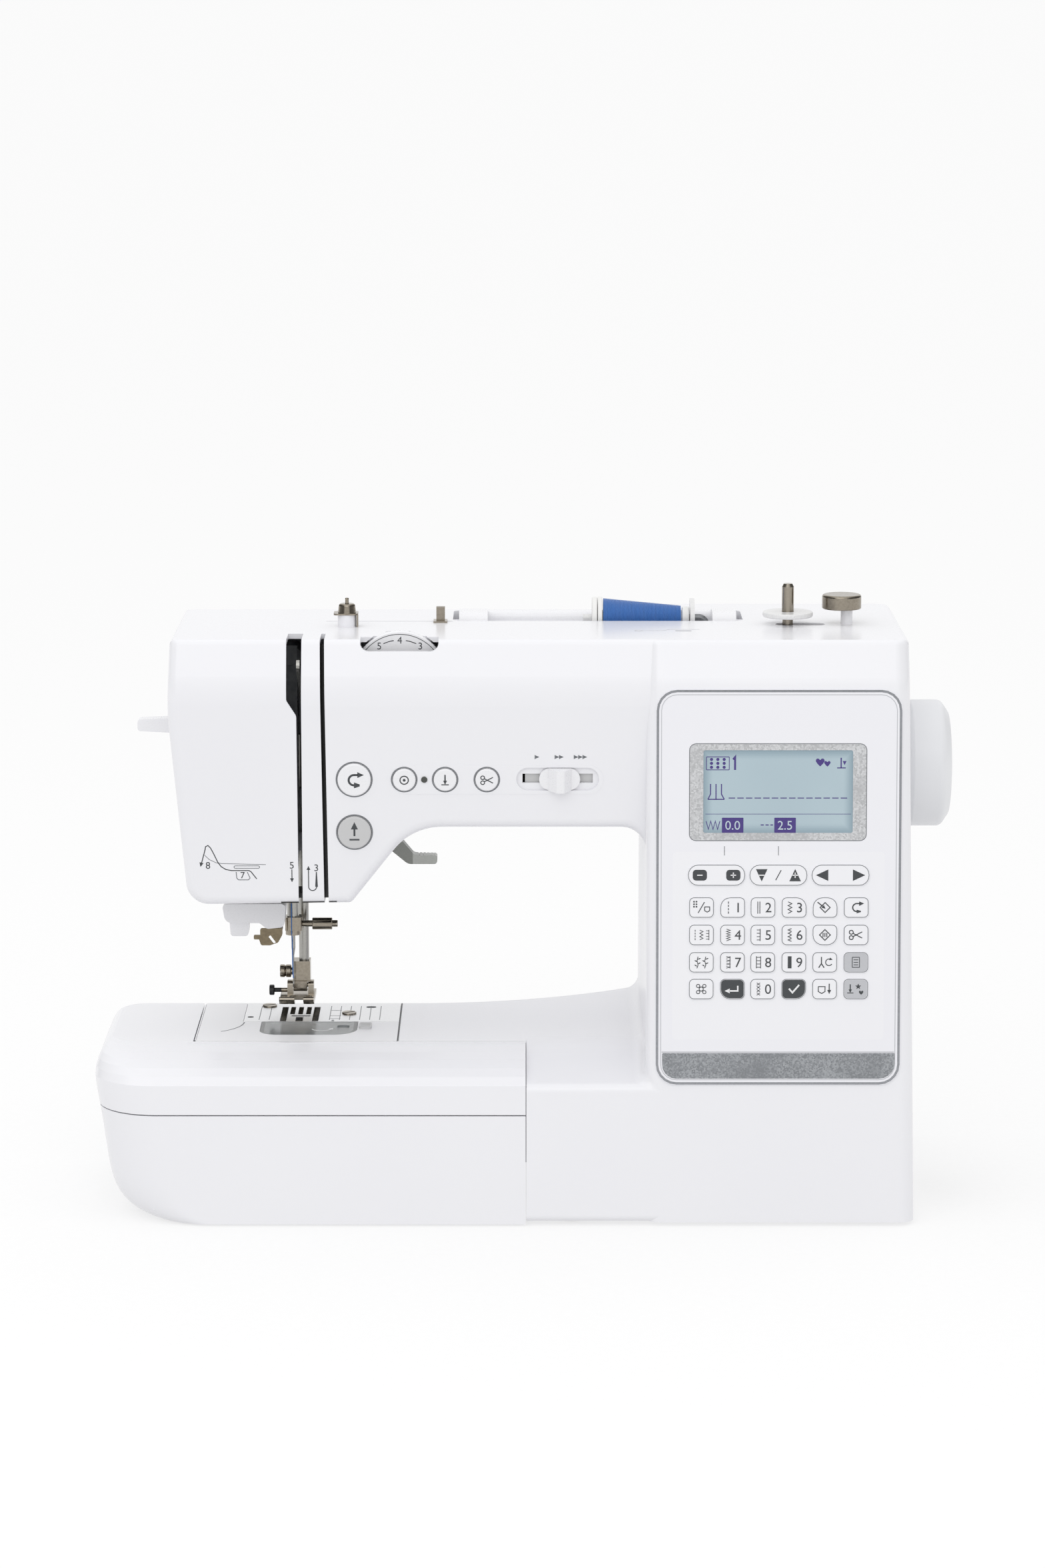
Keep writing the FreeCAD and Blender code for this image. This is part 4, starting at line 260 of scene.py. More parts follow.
def polyester_thread():
    """Spun polyester sewing thread: saturated blue, fine fibres along the turns and a soft sheen.
    The fibres are drawn thicker than real ones, which are too fine to show."""
    made, tree, shader, place = start_material("polyester_thread_wound")
    along = add(tree, "ShaderNodeMapping", {"Vector": place, "Scale": (1, 0.25, 0.25)})
    fibre = add(tree, "ShaderNodeTexNoise",
                {"Vector": along.outputs[0], "Scale": per_mm(0.35), "Detail": 4.0})
    tone = add(tree, "ShaderNodeMix", {0: fibre.outputs["Fac"], 6: colour("#1F5CAB"), 7: colour("#3F7CC4")},
               data_type="RGBA")
    bump = add(tree, "ShaderNodeBump", {"Height": fibre.outputs["Fac"], "Strength": 0.5,
                                        "Distance": 0.05 * MM})
    tree.links.new(tone.outputs[2], shader.inputs["Base Color"])
    tree.links.new(bump.outputs[0], shader.inputs["Normal"])
    shader.inputs["Roughness"].default_value = 0.55
    shader.inputs["Sheen Weight"].default_value = 0.3
    return made


def circuit_laminate():
    """Glass-fibre board: green solder mask over a faint woven ground."""
    made, tree, shader, place = start_material("glass_fibre_board_masked")
    weave = add(tree, "ShaderNodeTexChecker", {"Vector": place, "Scale": per_mm(1.2),
                                               "Color1": colour("#145B34"), "Color2": colour("#176A3C")})
    tree.links.new(weave.outputs["Color"], shader.inputs["Base Color"])
    shader.inputs["Roughness"].default_value = 0.35
    return made


def two_tone(name, first, second, axes, centre, limit):
    """One moulding or turning in two finishes: the second lies further than a limit from an axis or a plane.
    Each finish is a colour, a roughness and how metallic it is."""
    made, tree, shader, place = start_material(name)
    parts = add(tree, "ShaderNodeSeparateXYZ", {"Vector": place}).outputs
    off = [add(tree, "ShaderNodeMath", {0: parts[axis], 1: middle * MM}, operation="SUBTRACT").outputs[0]
           for axis, middle in zip(axes, centre)]
    if len(off) == 2:
        flat = add(tree, "ShaderNodeCombineXYZ", {0: off[0], 1: off[1]})
        away = add(tree, "ShaderNodeVectorMath", {0: flat.outputs[0]}, operation="LENGTH").outputs["Value"]
    else:
        away = off[0]
    far = add(tree, "ShaderNodeMath", {0: away, 1: limit * MM}, operation="GREATER_THAN").outputs[0]
    grain = add(tree, "ShaderNodeTexNoise", {"Vector": place, "Scale": per_mm(0.9), "Detail": 3.0})
    tone = add(tree, "ShaderNodeMix", {0: far, 6: colour(first[0]), 7: colour(second[0])}, data_type="RGBA")
    mottle = add(tree, "ShaderNodeMix", {0: grain.outputs["Fac"], 6: tone.outputs[2], 7: colour("#E4E4E4")},
                 data_type="RGBA", blend_type="MULTIPLY")
    rough = add(tree, "ShaderNodeMapRange", {"Value": far, "To Min": first[1], "To Max": second[1]})
    plated = add(tree, "ShaderNodeMapRange", {"Value": far, "To Min": first[2], "To Max": second[2]})
    tree.links.new(mottle.outputs[2], shader.inputs["Base Color"])
    tree.links.new(rough.outputs[0], shader.inputs["Roughness"])
    tree.links.new(plated.outputs[0], shader.inputs["Metallic"])
    return made


CASING = casing_plastic()
# ABS from a polished tool: white with a clear soft highlight
WHITE = moulded("abs_white_gloss_moulded", "#F2F2F4", "#EEEEF1", 0.28)[0]
# ABS from a satin tool: the same white, its highlight wider
PLATE_WHITE = moulded("abs_pale_grey_moulded", "#F2F2F4", "#EEEEF1", 0.34)[0]
# Polycarbonate with a satin back print: flat white, hardly any highlight
PANEL_SHEET = moulded("polycarbonate_white_satin", "#F0F0F4", "#EEEEF3", 0.4, grain=0.5)[0]
# Embossed polyester film: white and matt over the keys
KEY_FILM = moulded("polyester_film_embossed", "#F2F2F5", "#F0F0F4", 0.42, grain=0.4)[0]
# ABS coloured through: light neutral grey
GREY = moulded("abs_grey_satin_moulded", "#CBCBCB", "#C6C6C7", 0.38)[0]
# ABS coloured through: a white that is a little greyer than the casing
WHEEL = moulded("abs_light_grey_moulded", "#ECEDEF", "#E8E9EC", 0.36)[0]
# ABS coloured through: soft black
SWITCH_BLACK = moulded("abs_black_moulded", "#1C1C1E", "#252527", 0.42)[0]
# Moulded rubber: dull charcoal with a coarse grain
RUBBER = moulded("rubber_black_moulded", "#232325", "#2B2B2D", 0.75, grain=1.0, depth=0.03)[0]
# Toothed rubber belt: dull black
BELT = moulded("rubber_belt_moulded", "#18181A", "#202022", 0.7, grain=0.9, depth=0.03)[0]
# Moulded polystyrene: white with a faint warm cast
SPOOL_WHITE = moulded("polystyrene_white_moulded", "#EFEFED", "#E8E8E6", 0.32)[0]
# Ground steel: bright grey with fine level streaks
STEEL = metal("steel_ground_bright", "#B9B8B4", "#94928C", 0.24, streak=(1, 1, 8))[0]
# Nickel plate on steel: warm grey with sharp mirror bands
NICKEL = metal("steel_nickel_plated", "#A79F92", "#857D70", 0.18)[0]
# Satin-brushed steel: pale, brushed front to back, with a wide sheen
PLATE_STEEL = metal("steel_satin_brushed", "#F0F0F1", "#E4E5E7", 0.34, streak=(8, 1, 1), scale=1.6)[0]
# Die-cast aluminium: dull grey with a rough skin
CAST = metal("aluminium_die_cast", "#9B9DA0", "#85878A", 0.5, scale=2.5, depth=0.03)[0]
# Spring bronze sheet: brown and half bright
BRONZE = metal("bronze_spring_sheet", "#8C8069", "#6B6152", 0.3)[0]
# Chrome trim: a thin bright line, dark where it mirrors the room
TRIM = metal("chrome_trim_plated", "#A3A5A9", "#8B8D92", 0.16)[0]
# Enamelled steel can: near black with a soft gloss
MOTOR = moulded("steel_can_enamelled", "#2E2F33", "#363739", 0.45)[0]
BOARD = circuit_laminate()
DISPLAY = display_glass()
CLEAR = clear_plastic("polystyrene_clear_moulded", "#E3E7E8", 0.12)
THREAD = polyester_thread()
# Flake paint: mid grey that sparkles a little
BAND_GREY = flake_paint("flake_paint_grey", "#7F8286", "#A2A5A9", 0.7, 0.42, 0.35)
# Flake paint: pale silver that sparkles a little
BEZEL_SILVER = flake_paint("flake_paint_silver", "#B4B5B7", "#D2D3D5", 0.8, 0.45, 0.2)
# Printed inks: flat dark grey, mid grey, white and pale grey
INK = printing_ink("ink_dark_grey_printed", "#3A3D40", "#44474A", 0.45)
INK_SOFT = printing_ink("ink_mid_grey_printed", "#6C6F73", "#76797D", 0.45)
INK_WHITE = printing_ink("ink_white_printed", "#EEEEEF", "#E6E6E8", 0.45)
KEY_GREY = printing_ink("ink_pale_grey_printed", "#BDBEC3", "#C3C4C8", 0.42)
# Liquid crystal: indigo where it is dark, pale blue-grey where it is clear
CRYSTAL = printing_ink("lcd_segments_indigo", "#41307C", "#4A3A82", 0.3)
CRYSTAL_PALE = printing_ink("lcd_ground_pale", "#C2D1D8", "#BACBD2", 0.3)
# Tinted acrylic, unlit: dark green-grey with a bright spot
LAMP = moulded("acrylic_lamp_dark", "#3B3D3A", "#4A4C48", 0.2)[0]
# Pieces in two finishes, split at a radius or a plane: bright plate or wire beside plain plastic
NICKEL_TONE, WHITE_TONE = ("#A9A194", 0.2, 1.0), ("#EFEFEF", 0.25, 0.0)
WINDER = two_tone("winder_nickel_and_plastic", NICKEL_TONE, WHITE_TONE, "XY", (WINDER_X, WINDER_Y), 3.1)
SPOOL_PIN = two_tone("spool_pin_wire_and_plastic", WHITE_TONE, ("#8F9194", 0.3, 0.7), "X", (0,), 83.2)
FOOT = two_tone("foot_nickel_and_black", ("#1E1E20", 0.4, 0.0), NICKEL_TONE, "X", (0,), -122.6)
LEVER = two_tone("lever_grey_two_tones", ("#8F918B", 0.35, 0.0), ("#BFC1BB", 0.35, 0.0), "X", (0,), -56.6)

NODE_FINISH = {
    "front_casing": CASING, "face_cover": CASING, "rear_casing": CASING, "top_cover": CASING,
    "base_pan": CASING, "free_arm_cover": CASING, "flat_bed_table": CASING, "accessory_drawer": CASING,
    "plate_cover": PLATE_WHITE, "rubber_feet": RUBBER, "needle_plate": PLATE_STEEL, "main_frame": CAST,
    "shaft_bushes": BRONZE, "control_panel": PANEL_SHEET, "display_window": DISPLAY,
    "membrane_keypad": KEY_FILM, "circuit_board": BOARD, "drive_motor": MOTOR,
    "power_inlet": SWITCH_BLACK, "winder_stop": NICKEL, "thread_guides": NICKEL, "spool_pin": SPOOL_PIN,
    "bobbin_case": SWITCH_BLACK, "drive_belts": BELT, "hand_wheel": WHEEL, "main_shaft": STEEL,
    "needle_crank": STEEL, "motor_pulley": STEEL, "lower_shaft": STEEL, "rotary_hook": STEEL,
    "needle_bar_frame": CAST, "needle_bar": STEEL, "needle_clamp": NICKEL, "clamp_screw": NICKEL,
    "needle": STEEL, "take_up_lever": STEEL, "presser_bar": STEEL, "foot_holder": NICKEL,
    "foot_screw": NICKEL, "presser_foot": FOOT, "presser_lever": LEVER, "feed_dog": STEEL,
    "needle_threader": WHITE, "threader_hook": BRONZE, "tension_dial": WHITE, "speed_slider": WHITE,
    "reverse_button": WHITE, "reinforce_button": WHITE, "needle_button": WHITE, "cutter_button": WHITE,
    "start_button": GREY, "power_switch": SWITCH_BLACK, "winder_slide": WHITE, "winder_spindle": WINDER,
    "carry_handle": WHITE, "spool_core": SPOOL_WHITE, "thread_winding": THREAD,
    "spool_cap": SPOOL_WHITE, "bobbin": CLEAR, "bobbin_cover": CLEAR,
}


def set_input(modifier, name, value):
    """Sets a Geometry Nodes input by its socket's identifier."""
    for item in modifier.node_group.interface.items_tree:
        if item.item_type == "SOCKET" and item.in_out == "INPUT" and item.name == name:
            modifier[item.identifier] = value


def finish_nodes():
    """Gives each solid of the frame its own finish."""
    for name, node in NODES.items():
        node.data.materials.clear()
        node.data.materials.append(NODE_FINISH[name])


def plane(origin, lean):
    """Millimetres on a front that leans by an angle: x right, y up the front, z out of it."""
    up = Vector((0, math.sin(lean), math.cos(lean)))
    out = Vector((1, 0, 0)).cross(up)
    turn = Matrix(((1, up.x, out.x), (0, up.y, out.y), (0, up.z, out.z))).to_4x4()
    return Matrix.Translation(Vector(origin) * MM) @ turn @ Matrix.Scale(MM, 4)


def arm_front(z):
    """Arm front at a height; x stays the machine's own X."""
    return plane((0, CREASE_Y + (CREASE_Z - z) * ARM_LEAN, z), -math.atan(ARM_LEAN))


def level(z):
    """Level face at a height: x and y stay the machine's own."""
    return Matrix.Translation((0, 0, z * MM)) @ Matrix.Scale(MM, 4)


PANEL = plane((PANEL_X0, LOW_Y + (PANEL_Z0 - LOW_Z) * math.tan(PANEL_LEAN), PANEL_Z0), PANEL_LEAN)


# Flat shapes: a list of points is a filled outline, a pair of lists is a closed band between two outlines,
# and a triple adds False for a band with open ends.
def arc(x, y, r, start, end, steps=10):
    """Points round a centre from one angle to another."""
    turns = [math.radians(start + (end - start) * i / steps) for i in range(steps + 1)]
    return [(x + r * math.cos(t), y + r * math.sin(t)) for t in turns]


def disc(x, y, r, steps=20):
    """Filled circle."""
    return arc(x, y, r, 0, 360 - 360 / steps, steps - 1)


def ring(x, y, r, wide, steps=40):
    """Circle as a line of even width."""
    return disc(x, y, r + wide / 2, steps), disc(x, y, r - wide / 2, steps)


def pad(x0, x1, y0, y1, r=0.0, steps=5):
    """Rounded rectangle; r is one radius or four, from the lower left round to the upper left."""
    r = [max(v, 0.01) for v in (r if isinstance(r, (list, tuple)) else [r] * 4)]
    return (arc(x0 + r[0], y0 + r[0], r[0], 180, 270, steps)
            + arc(x1 - r[1], y0 + r[1], r[1], 270, 360, steps)
            + arc(x1 - r[2], y1 - r[2], r[2], 0, 90, steps)
            + arc(x0 + r[3], y1 - r[3], r[3], 90, 180, steps))


def border(x0, x1, y0, y1, r, wide):
    """Line of even width inside a rounded rectangle."""
    r = list(r) if isinstance(r, (list, tuple)) else [r] * 4
    inner = pad(x0 + wide, x1 - wide, y0 + wide, y1 - wide, [v - wide for v in r])
    return pad(x0, x1, y0, y1, r), inner


def stroke(points, wide):
    """Band of even width along a run of points, mitred at its bends."""
    left, right = [], []
    for i, point in enumerate(points):
        here = Vector(point)
        before = (here - Vector(points[i - 1])).normalized() if i else None
        after = (Vector(points[i + 1]) - here).normalized() if i + 1 < len(points) else None
        way = ((before or after) + (after or before)).normalized()
        side = Vector((-way.y, way.x))
        reach = wide / 2 / max(0.35, abs(side.dot(Vector((-(after or before).y, (after or before).x)))))
        left.append(tuple(here + side * reach))
        right.append(tuple(here - side * reach))
    return left, right, False


def dart(x, y, size, turn):
    """Filled triangle that points along an angle."""
    return [(x + size * math.cos(math.radians(turn + a)), y + size * math.sin(math.radians(turn + a)))
            for a in (0, 130, 230)]


def heart(x, y, s):
    """Filled heart."""
    half = [(0, -1.0), (0.55, -0.45), (0.95, 0.1), (0.98, 0.5), (0.72, 0.8), (0.35, 0.78), (0, 0.45)]
    return [(x + s * a, y + s * b) for a, b in half] + [(x - s * a, y + s * b) for a, b in half[-2:0:-1]]


def moved(shapes, x, y, scale=1.0):
    """Shapes scaled about their middle and set elsewhere."""
    def shift(part):
        return [(x + scale * a, y + scale * b) for a, b in part]
    return [shift(s) if isinstance(s, list) else tuple(shift(p) if isinstance(p, list) else p for p in s)
            for s in shapes]


def band_faces(mesh, first, second, closed, low, high):
    """Closed thin solid between two matching runs of points."""
    count = len(first)
    rows = [[mesh.verts.new((x, y, z)) for x, y in run] for run, z in
            ((first, low), (first, high), (second, high), (second, low))]
    for i in range(count if closed else count - 1):
        j = (i + 1) % count
        for a in range(4):
            b = (a + 1) % 4
            mesh.faces.new((rows[a][i], rows[a][j], rows[b][j], rows[b][i]))
    if not closed:
        for i in (0, count - 1):
            mesh.faces.new([row[i] for row in rows])


def fill_faces(mesh, points, low, high):
    """Closed thin solid on a filled outline."""
    floor = [mesh.verts.new((x, y, low)) for x, y in points]
    roof = [mesh.verts.new((x, y, high)) for x, y in points]
    mesh.faces.new(floor)
    mesh.faces.new(roof)
    for i in range(len(points)):
        j = (i + 1) % len(points)
        mesh.faces.new((floor[i], floor[j], roof[j], roof[i]))


def figure_faces(mesh, words, x, y, high_mm, low, high):
    """Plain figures set in the middle of a spot."""
    data = bpy.data.curves.new("figures", "FONT")
    data.body = words
    data.size = high_mm / FIGURE_SHARE
    data.align_x = "CENTER"
    data.extrude = (high - low) / 2
    data.resolution_u = 4
    text = bpy.data.objects.new("figures", data)
    bpy.context.scene.collection.objects.link(text)
    bpy.context.view_layer.update()
    cut = bpy.data.meshes.new_from_object(text.evaluated_get(bpy.context.evaluated_depsgraph_get()))
    cut.transform(Matrix.Translation((x, y - high_mm / 2, (low + high) / 2)))
    mesh.from_mesh(cut)
    bpy.data.objects.remove(text)
    bpy.data.curves.remove(data)
    bpy.data.meshes.remove(cut)


def settle(name, mesh, body, material):
    """Mesh in place at the origin, riding a body and finished with the material given."""
    if isinstance(mesh, bmesh.types.BMesh):
        data = bpy.data.meshes.new(name)
        mesh.to_mesh(data)
        mesh.free()
    else:
        data = mesh
        data.name = name
    data.materials.clear()
    data.materials.append(material)
    piece = bpy.data.objects.new(name, data)
    bpy.context.scene.collection.objects.link(piece)
    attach(piece, body)
    return piece


def press(name, body, material, where, shapes, figures=(), low=-PRINT_HALF, high=0.06):
    """Print: flat shapes and figures in millimetres on a plane, each one a thin closed solid."""
    mesh = bmesh.new()
    for shape in shapes:
        if isinstance(shape, list):
            fill_faces(mesh, shape, low, high)
        else:
            band_faces(mesh, shape[0], shape[1], len(shape) == 2, low, high)
    for words, x, y, tall in figures:
        figure_faces(mesh, words, x, y, tall, low, high)
    bmesh.ops.remove_doubles(mesh, verts=mesh.verts, dist=0.0005)
    bmesh.ops.recalc_face_normals(mesh, faces=mesh.faces)
    mesh.transform(where)
    return settle(name, mesh, body, material)


# Signs, drawn round their own middle, about 6 mm wide
def uturn(w=0.7):
    """Arrow that turns back."""
    bend = [(2.2, -1.9), (0.2, -1.9)] + arc(0.2, 0.0, 1.9, 270, 90, 12) + [(1.6, 1.9)]
    return [stroke(bend, w), dart(2.3, 1.9, 1.4, 0)]


def scissors(w=0.5):
    """Open scissors, handles to the left."""
    return [ring(-2.3, 1.3, 0.95, w, 16), ring(-2.3, -1.3, 0.95, w, 16),
            stroke([(-1.5, 0.8), (2.9, -1.5)], w), stroke([(-1.5, -0.8), (2.9, 1.5)], w)]


def diamond(r=2.6, w=0.5):
    """Square on its corner, as a line."""
    points = [(r, 0), (0, r), (-r, 0), (0, -r)]
    return points, [(a * (1 - w / r * 1.4), b * (1 - w / r * 1.4)) for a, b in points]


def pocket(x, y, s, w=0.4):
    """Outline of a patch pocket."""
    outline = [(-1, 1), (-1, -0.5), (0, -1.1), (1, -0.5), (1, 1), (-1, 1)]
    return stroke([(x + a * s, y + b * s) for a, b in outline], w)


def needle_sign():
    """Needle over a line of cloth."""
    return [stroke([(0, 2.6), (0, -0.6)], 0.7), dart(0, -1.3, 1.3, 270),
            stroke([(-1.9, -2.6), (1.9, -2.6)], 0.5)]


def star(x, y, r):
    """Filled star of five points."""
    return [(x + (r if i % 2 else 0.45 * r) * math.cos(math.radians(90 + 36 * (i + 1))),
             y + (r if i % 2 else 0.45 * r) * math.sin(math.radians(90 + 36 * (i + 1)))) for i in range(10)]


def leaf_vine():
    """Upright stem with leaves to both sides."""
    leaf = [(0, 0), (0.9, 0.15), (1.6, 0.75), (0.8, 0.75)]
    out = [stroke([(-0.3, -2.9), (0.25, -1.2), (-0.25, 0.6), (0.2, 2.7)], 0.35)]
    for i, y in enumerate((-2.0, -0.9, 0.2, 1.3)):
        side = 1 if i % 2 else -1
        out.append([(side * a, y + b) for a, b in leaf])
    return out


def stitch(kind):
    """Stitch shown beside a figure on its key: a row of one of ten plain patterns."""
    rows = (-2.4, -0.8, 0.8, 2.4)
    ends = (-2.9, 2.9)

    def upright(x):
        return stroke([(x, y) for y in ends], 0.35)

    def zigzag(count, step, wide):
        return [stroke([(0.9 if i % 2 else -0.9, -2.8 + step * i) for i in range(count)], wide)]

    def each_row(wide, *points):
        return [stroke([(x, row + y) for x, y in points], wide) for row in rows]

    patterns = (
        each_row(0.3, (-0.8, -0.6), (0.8, 0.6)) + each_row(0.3, (-0.8, 0.6), (0.8, -0.6)),
        each_row(0.4, (0, -0.5), (0, 0.5)),
        [upright(-0.5), upright(0.5)],
        zigzag(7, 0.93, 0.35),
        zigzag(11, 0.56, 0.3),
        [upright(0.7)] + each_row(0.3, (-0.9, 0), (0.7, 0)),
        each_row(0.35, (0.8, -0.7), (-0.8, 0), (0.8, 0.7)),
        [upright(0.8)] + each_row(0.3, (-0.9, -0.4), (0.8, 0), (-0.9, 0.4)),
        [upright(-1), upright(1)] + each_row(0.3, (-1, 0), (1, 0)),
        [pad(-0.9, 0.9, *ends, 0.1)],
    )
    return patterns[kind]


KEY_COLUMNS = (15.8, 30.7, 45.2, 60.1, 74.9, 89.8)
KEY_ROWS = (80.8, 67.6, 54.4, 41.5)
KEY_W, KEY_H, KEY_R, KEY_END_R = 12.0, 10.0, 2.4, 4.8
KEY_ENDS = {(1, 0): (3,), (3, 0): (2,), (4, 0): (2, 3), (4, 1): (0, 1), (1, 3): (0,), (3, 3): (1,)}
PILLS = ((15.2, 42.7), (44.6, 72.4), (74.3, 102.1))
PILL_V = (96.2, 106.5)


def key_signs():
    """Signs of the keys that have no figure, by column and row."""
    dots = [disc(x, y, 0.42, 10) for x in (-3.6, -2.4) for y in (0.4, 1.6, 2.8)]
    lines = [stroke([(-1.1, y), (1.1, y)], 0.35) for y in (-1.2, 0, 1.2)]
    turns = [math.radians(90 * i + 45) for i in range(4)]
    petals = [ring(2.1 * math.cos(a), 2.1 * math.sin(a), 0.8, 0.35, 14) for a in turns]
    three_stitches = [moved(stitch(kind), x, 0, 0.85) for kind, x in ((1, -3.0), (3, 0.0), (5, 3.0))]
    return {
        (0, 0): dots + [stroke([(-1.6, -2.6), (1.4, 2.6)], 0.4), pocket(2.7, -0.9, 1.2)],
        (4, 0): [diamond(2.7, 0.45), stroke([(-3.6, 2.6), (-1.2, 0.6)], 0.5), dart(-0.6, 0.1, 1.1, 320)],
        (5, 0): uturn(0.6),
        (0, 1): [shape for shapes in three_stitches for shape in shapes],
        (4, 1): [diamond(2.9, 0.45)] + [stroke([(x, -1.0), (x, 1.0)], 0.45) for x in (-0.9, 0, 0.9)],
        (5, 1): scissors(0.45),
        (0, 2): moved(leaf_vine(), -1.8, 0) + moved(leaf_vine(), 1.9, 0),
        (4, 2): [stroke([(-1.6, 2.6), (-1.6, -0.6), (-2.9, -2.6)], 0.5),
                 stroke([(-1.6, -0.6), (-0.3, -2.6)], 0.5),
                 stroke(arc(2.0, 0, 1.6, 60, 330, 12), 0.4), dart(2.9, 1.5, 0.9, 340)],
        (5, 2): [border(-1.9, 1.9, -2.6, 2.6, 0.3, 0.35)] + lines,
        (0, 3): [ring(0, 0, 1.0, 0.4, 16)] + petals,
        (1, 3): [stroke([(2.6, 1.6), (2.6, -0.9), (-1.6, -0.9)], 0.7), dart(-2.2, -0.9, 1.5, 180)],
        (3, 3): [stroke([(-2.3, 0.2), (-0.6, -1.7), (2.6, 2.0)], 0.8)],
        (4, 3): [pocket(-1.4, -0.4, 1.6), stroke([(2.2, 2.6), (2.2, -0.6)], 0.5), dart(2.2, -1.2, 1.2, 270)],
        (5, 3): moved(needle_sign(), -2.6, 0.2, 0.8) + [star(1.2, 1.2, 1.5), heart(2.6, -1.7, 1.1)],
    }


def draw_panel():
    """Printing on the control panel: bright rim, flake band, display bezel, keys and their signs."""
    w, h, r = PANEL_W, PANEL_H, PANEL_R
    top = KEY_PROUD
    signs = key_signs()

    def sheet(name, material, shapes, figures=(), at=PANEL_PROUD, slot="panel_plastic"):
        press(name, "machine", material, PANEL, shapes, figures, at - PRINT_HALF, at + PRINT_HALF)

    sheet("panel_rim", TRIM, [border(0.15, w - 0.15, 0.15, h - 0.15, r - 0.15, 1.15)])
    sheet("panel_rim_inner", KEY_GREY, [border(2.3, w - 2.3, 2.3, h - 2.3, r - 2.3, 0.35)])
    sheet("panel_band", BAND_GREY, [pad(3.2, w - 2.5, 3.0, 15.4, [r - 3.2, r - 2.5, 0.6, 0.6])])
    sheet("panel_band_edge", KEY_GREY, [stroke([(2.9, 15.9), (w - 2.9, 15.9)], 0.5)])
    window = pad(22.5, 93.9, 121.6, 161.2, 1.0)
    sheet("display_bezel", BEZEL_SILVER, [(pad(16.1, 100.2, 118.1, 164.1, 3.0), window)])
    sheet("display_bezel_line", INK_SOFT, [border(15.7, 100.6, 117.7, 164.5, 3.3, 0.35)])
    sheet("panel_ticks", INK_SOFT, [stroke([(x, 110.8), (x, 115.2)], 0.3) for x in (32.7, 58.5)])
    lines, plain, dark, pale, white, figures = [], [], [], [], [], []
    for row, v in enumerate(KEY_ROWS):
        for column, u in enumerate(KEY_COLUMNS):
            ends = KEY_ENDS.get((column, row), ())
            radii = [KEY_END_R if i in ends else KEY_R for i in range(4)]
            middle = (u + KEY_W / 2, v + KEY_H / 2)
            lines.append(border(u + 0.15, u + KEY_W - 0.15, v + 0.15, v + KEY_H - 0.15,
                                [a - 0.15 for a in radii], 0.3))
            inner = pad(u + 0.6, u + KEY_W - 0.6, v + 0.6, v + KEY_H - 0.6, [a - 0.6 for a in radii])
            if row == 3 and column in (1, 3):
                dark.append(inner)
                white += moved(signs[column, row], *middle)
            elif column in (1, 2, 3):
                number = 0 if row == 3 else 3 * row + column
                figures.append((str(number), u + 8.6, middle[1], 4.6))
                plain += moved(stitch(number), u + 4.0, middle[1])
            else:
                if column == 5 and row > 1:
                    pale.append(inner)
                plain += moved(signs[column, row], *middle)
    for i, (u0, u1) in enumerate(PILLS):
        v0, v1 = PILL_V
        middle_u, middle_v = (u0 + u1) / 2, (v0 + v1) / 2
        lines.append(border(u0 + 0.15, u1 - 0.15, v0 + 0.15, v1 - 0.15, 4.75, 0.3))
        for side in (-1, 1):
            u = middle_u + side * 8.0
            if i == 0:
                dark.append(pad(u - 3.4, u + 3.4, middle_v - 2.6, middle_v + 2.6, 1.6))
            elif i == 1:
                dark.append(dart(u, middle_v - side * 0.6, 3.6, 90 * side))
            else:
                dark.append(dart(u + side * 0.2, middle_v, 3.6, 90 - 90 * side))
            if i < 2:
                white.append(stroke([(u - 1.3, middle_v), (u + 1.3, middle_v)], 0.5))
                if side > 0:
                    white.append(stroke([(u, middle_v - 1.3), (u, middle_v + 1.3)], 0.5))
        if i == 1:
            plain.append(stroke([(middle_u - 1.3, middle_v - 2.4), (middle_u + 1.3, middle_v + 2.4)], 0.4))
    sheet("key_outlines", INK_SOFT, lines, at=top, slot="keypad_film")
    sheet("key_grey_fields", KEY_GREY, pale, at=top, slot="keypad_film")
    sheet("key_dark_fields", INK, dark, at=top, slot="keypad_film")
    sheet("key_signs", INK, plain, figures, at=top + 0.03, slot="keypad_film")
    sheet("key_white_signs", INK_WHITE, white, at=top + 0.03, slot="keypad_film")


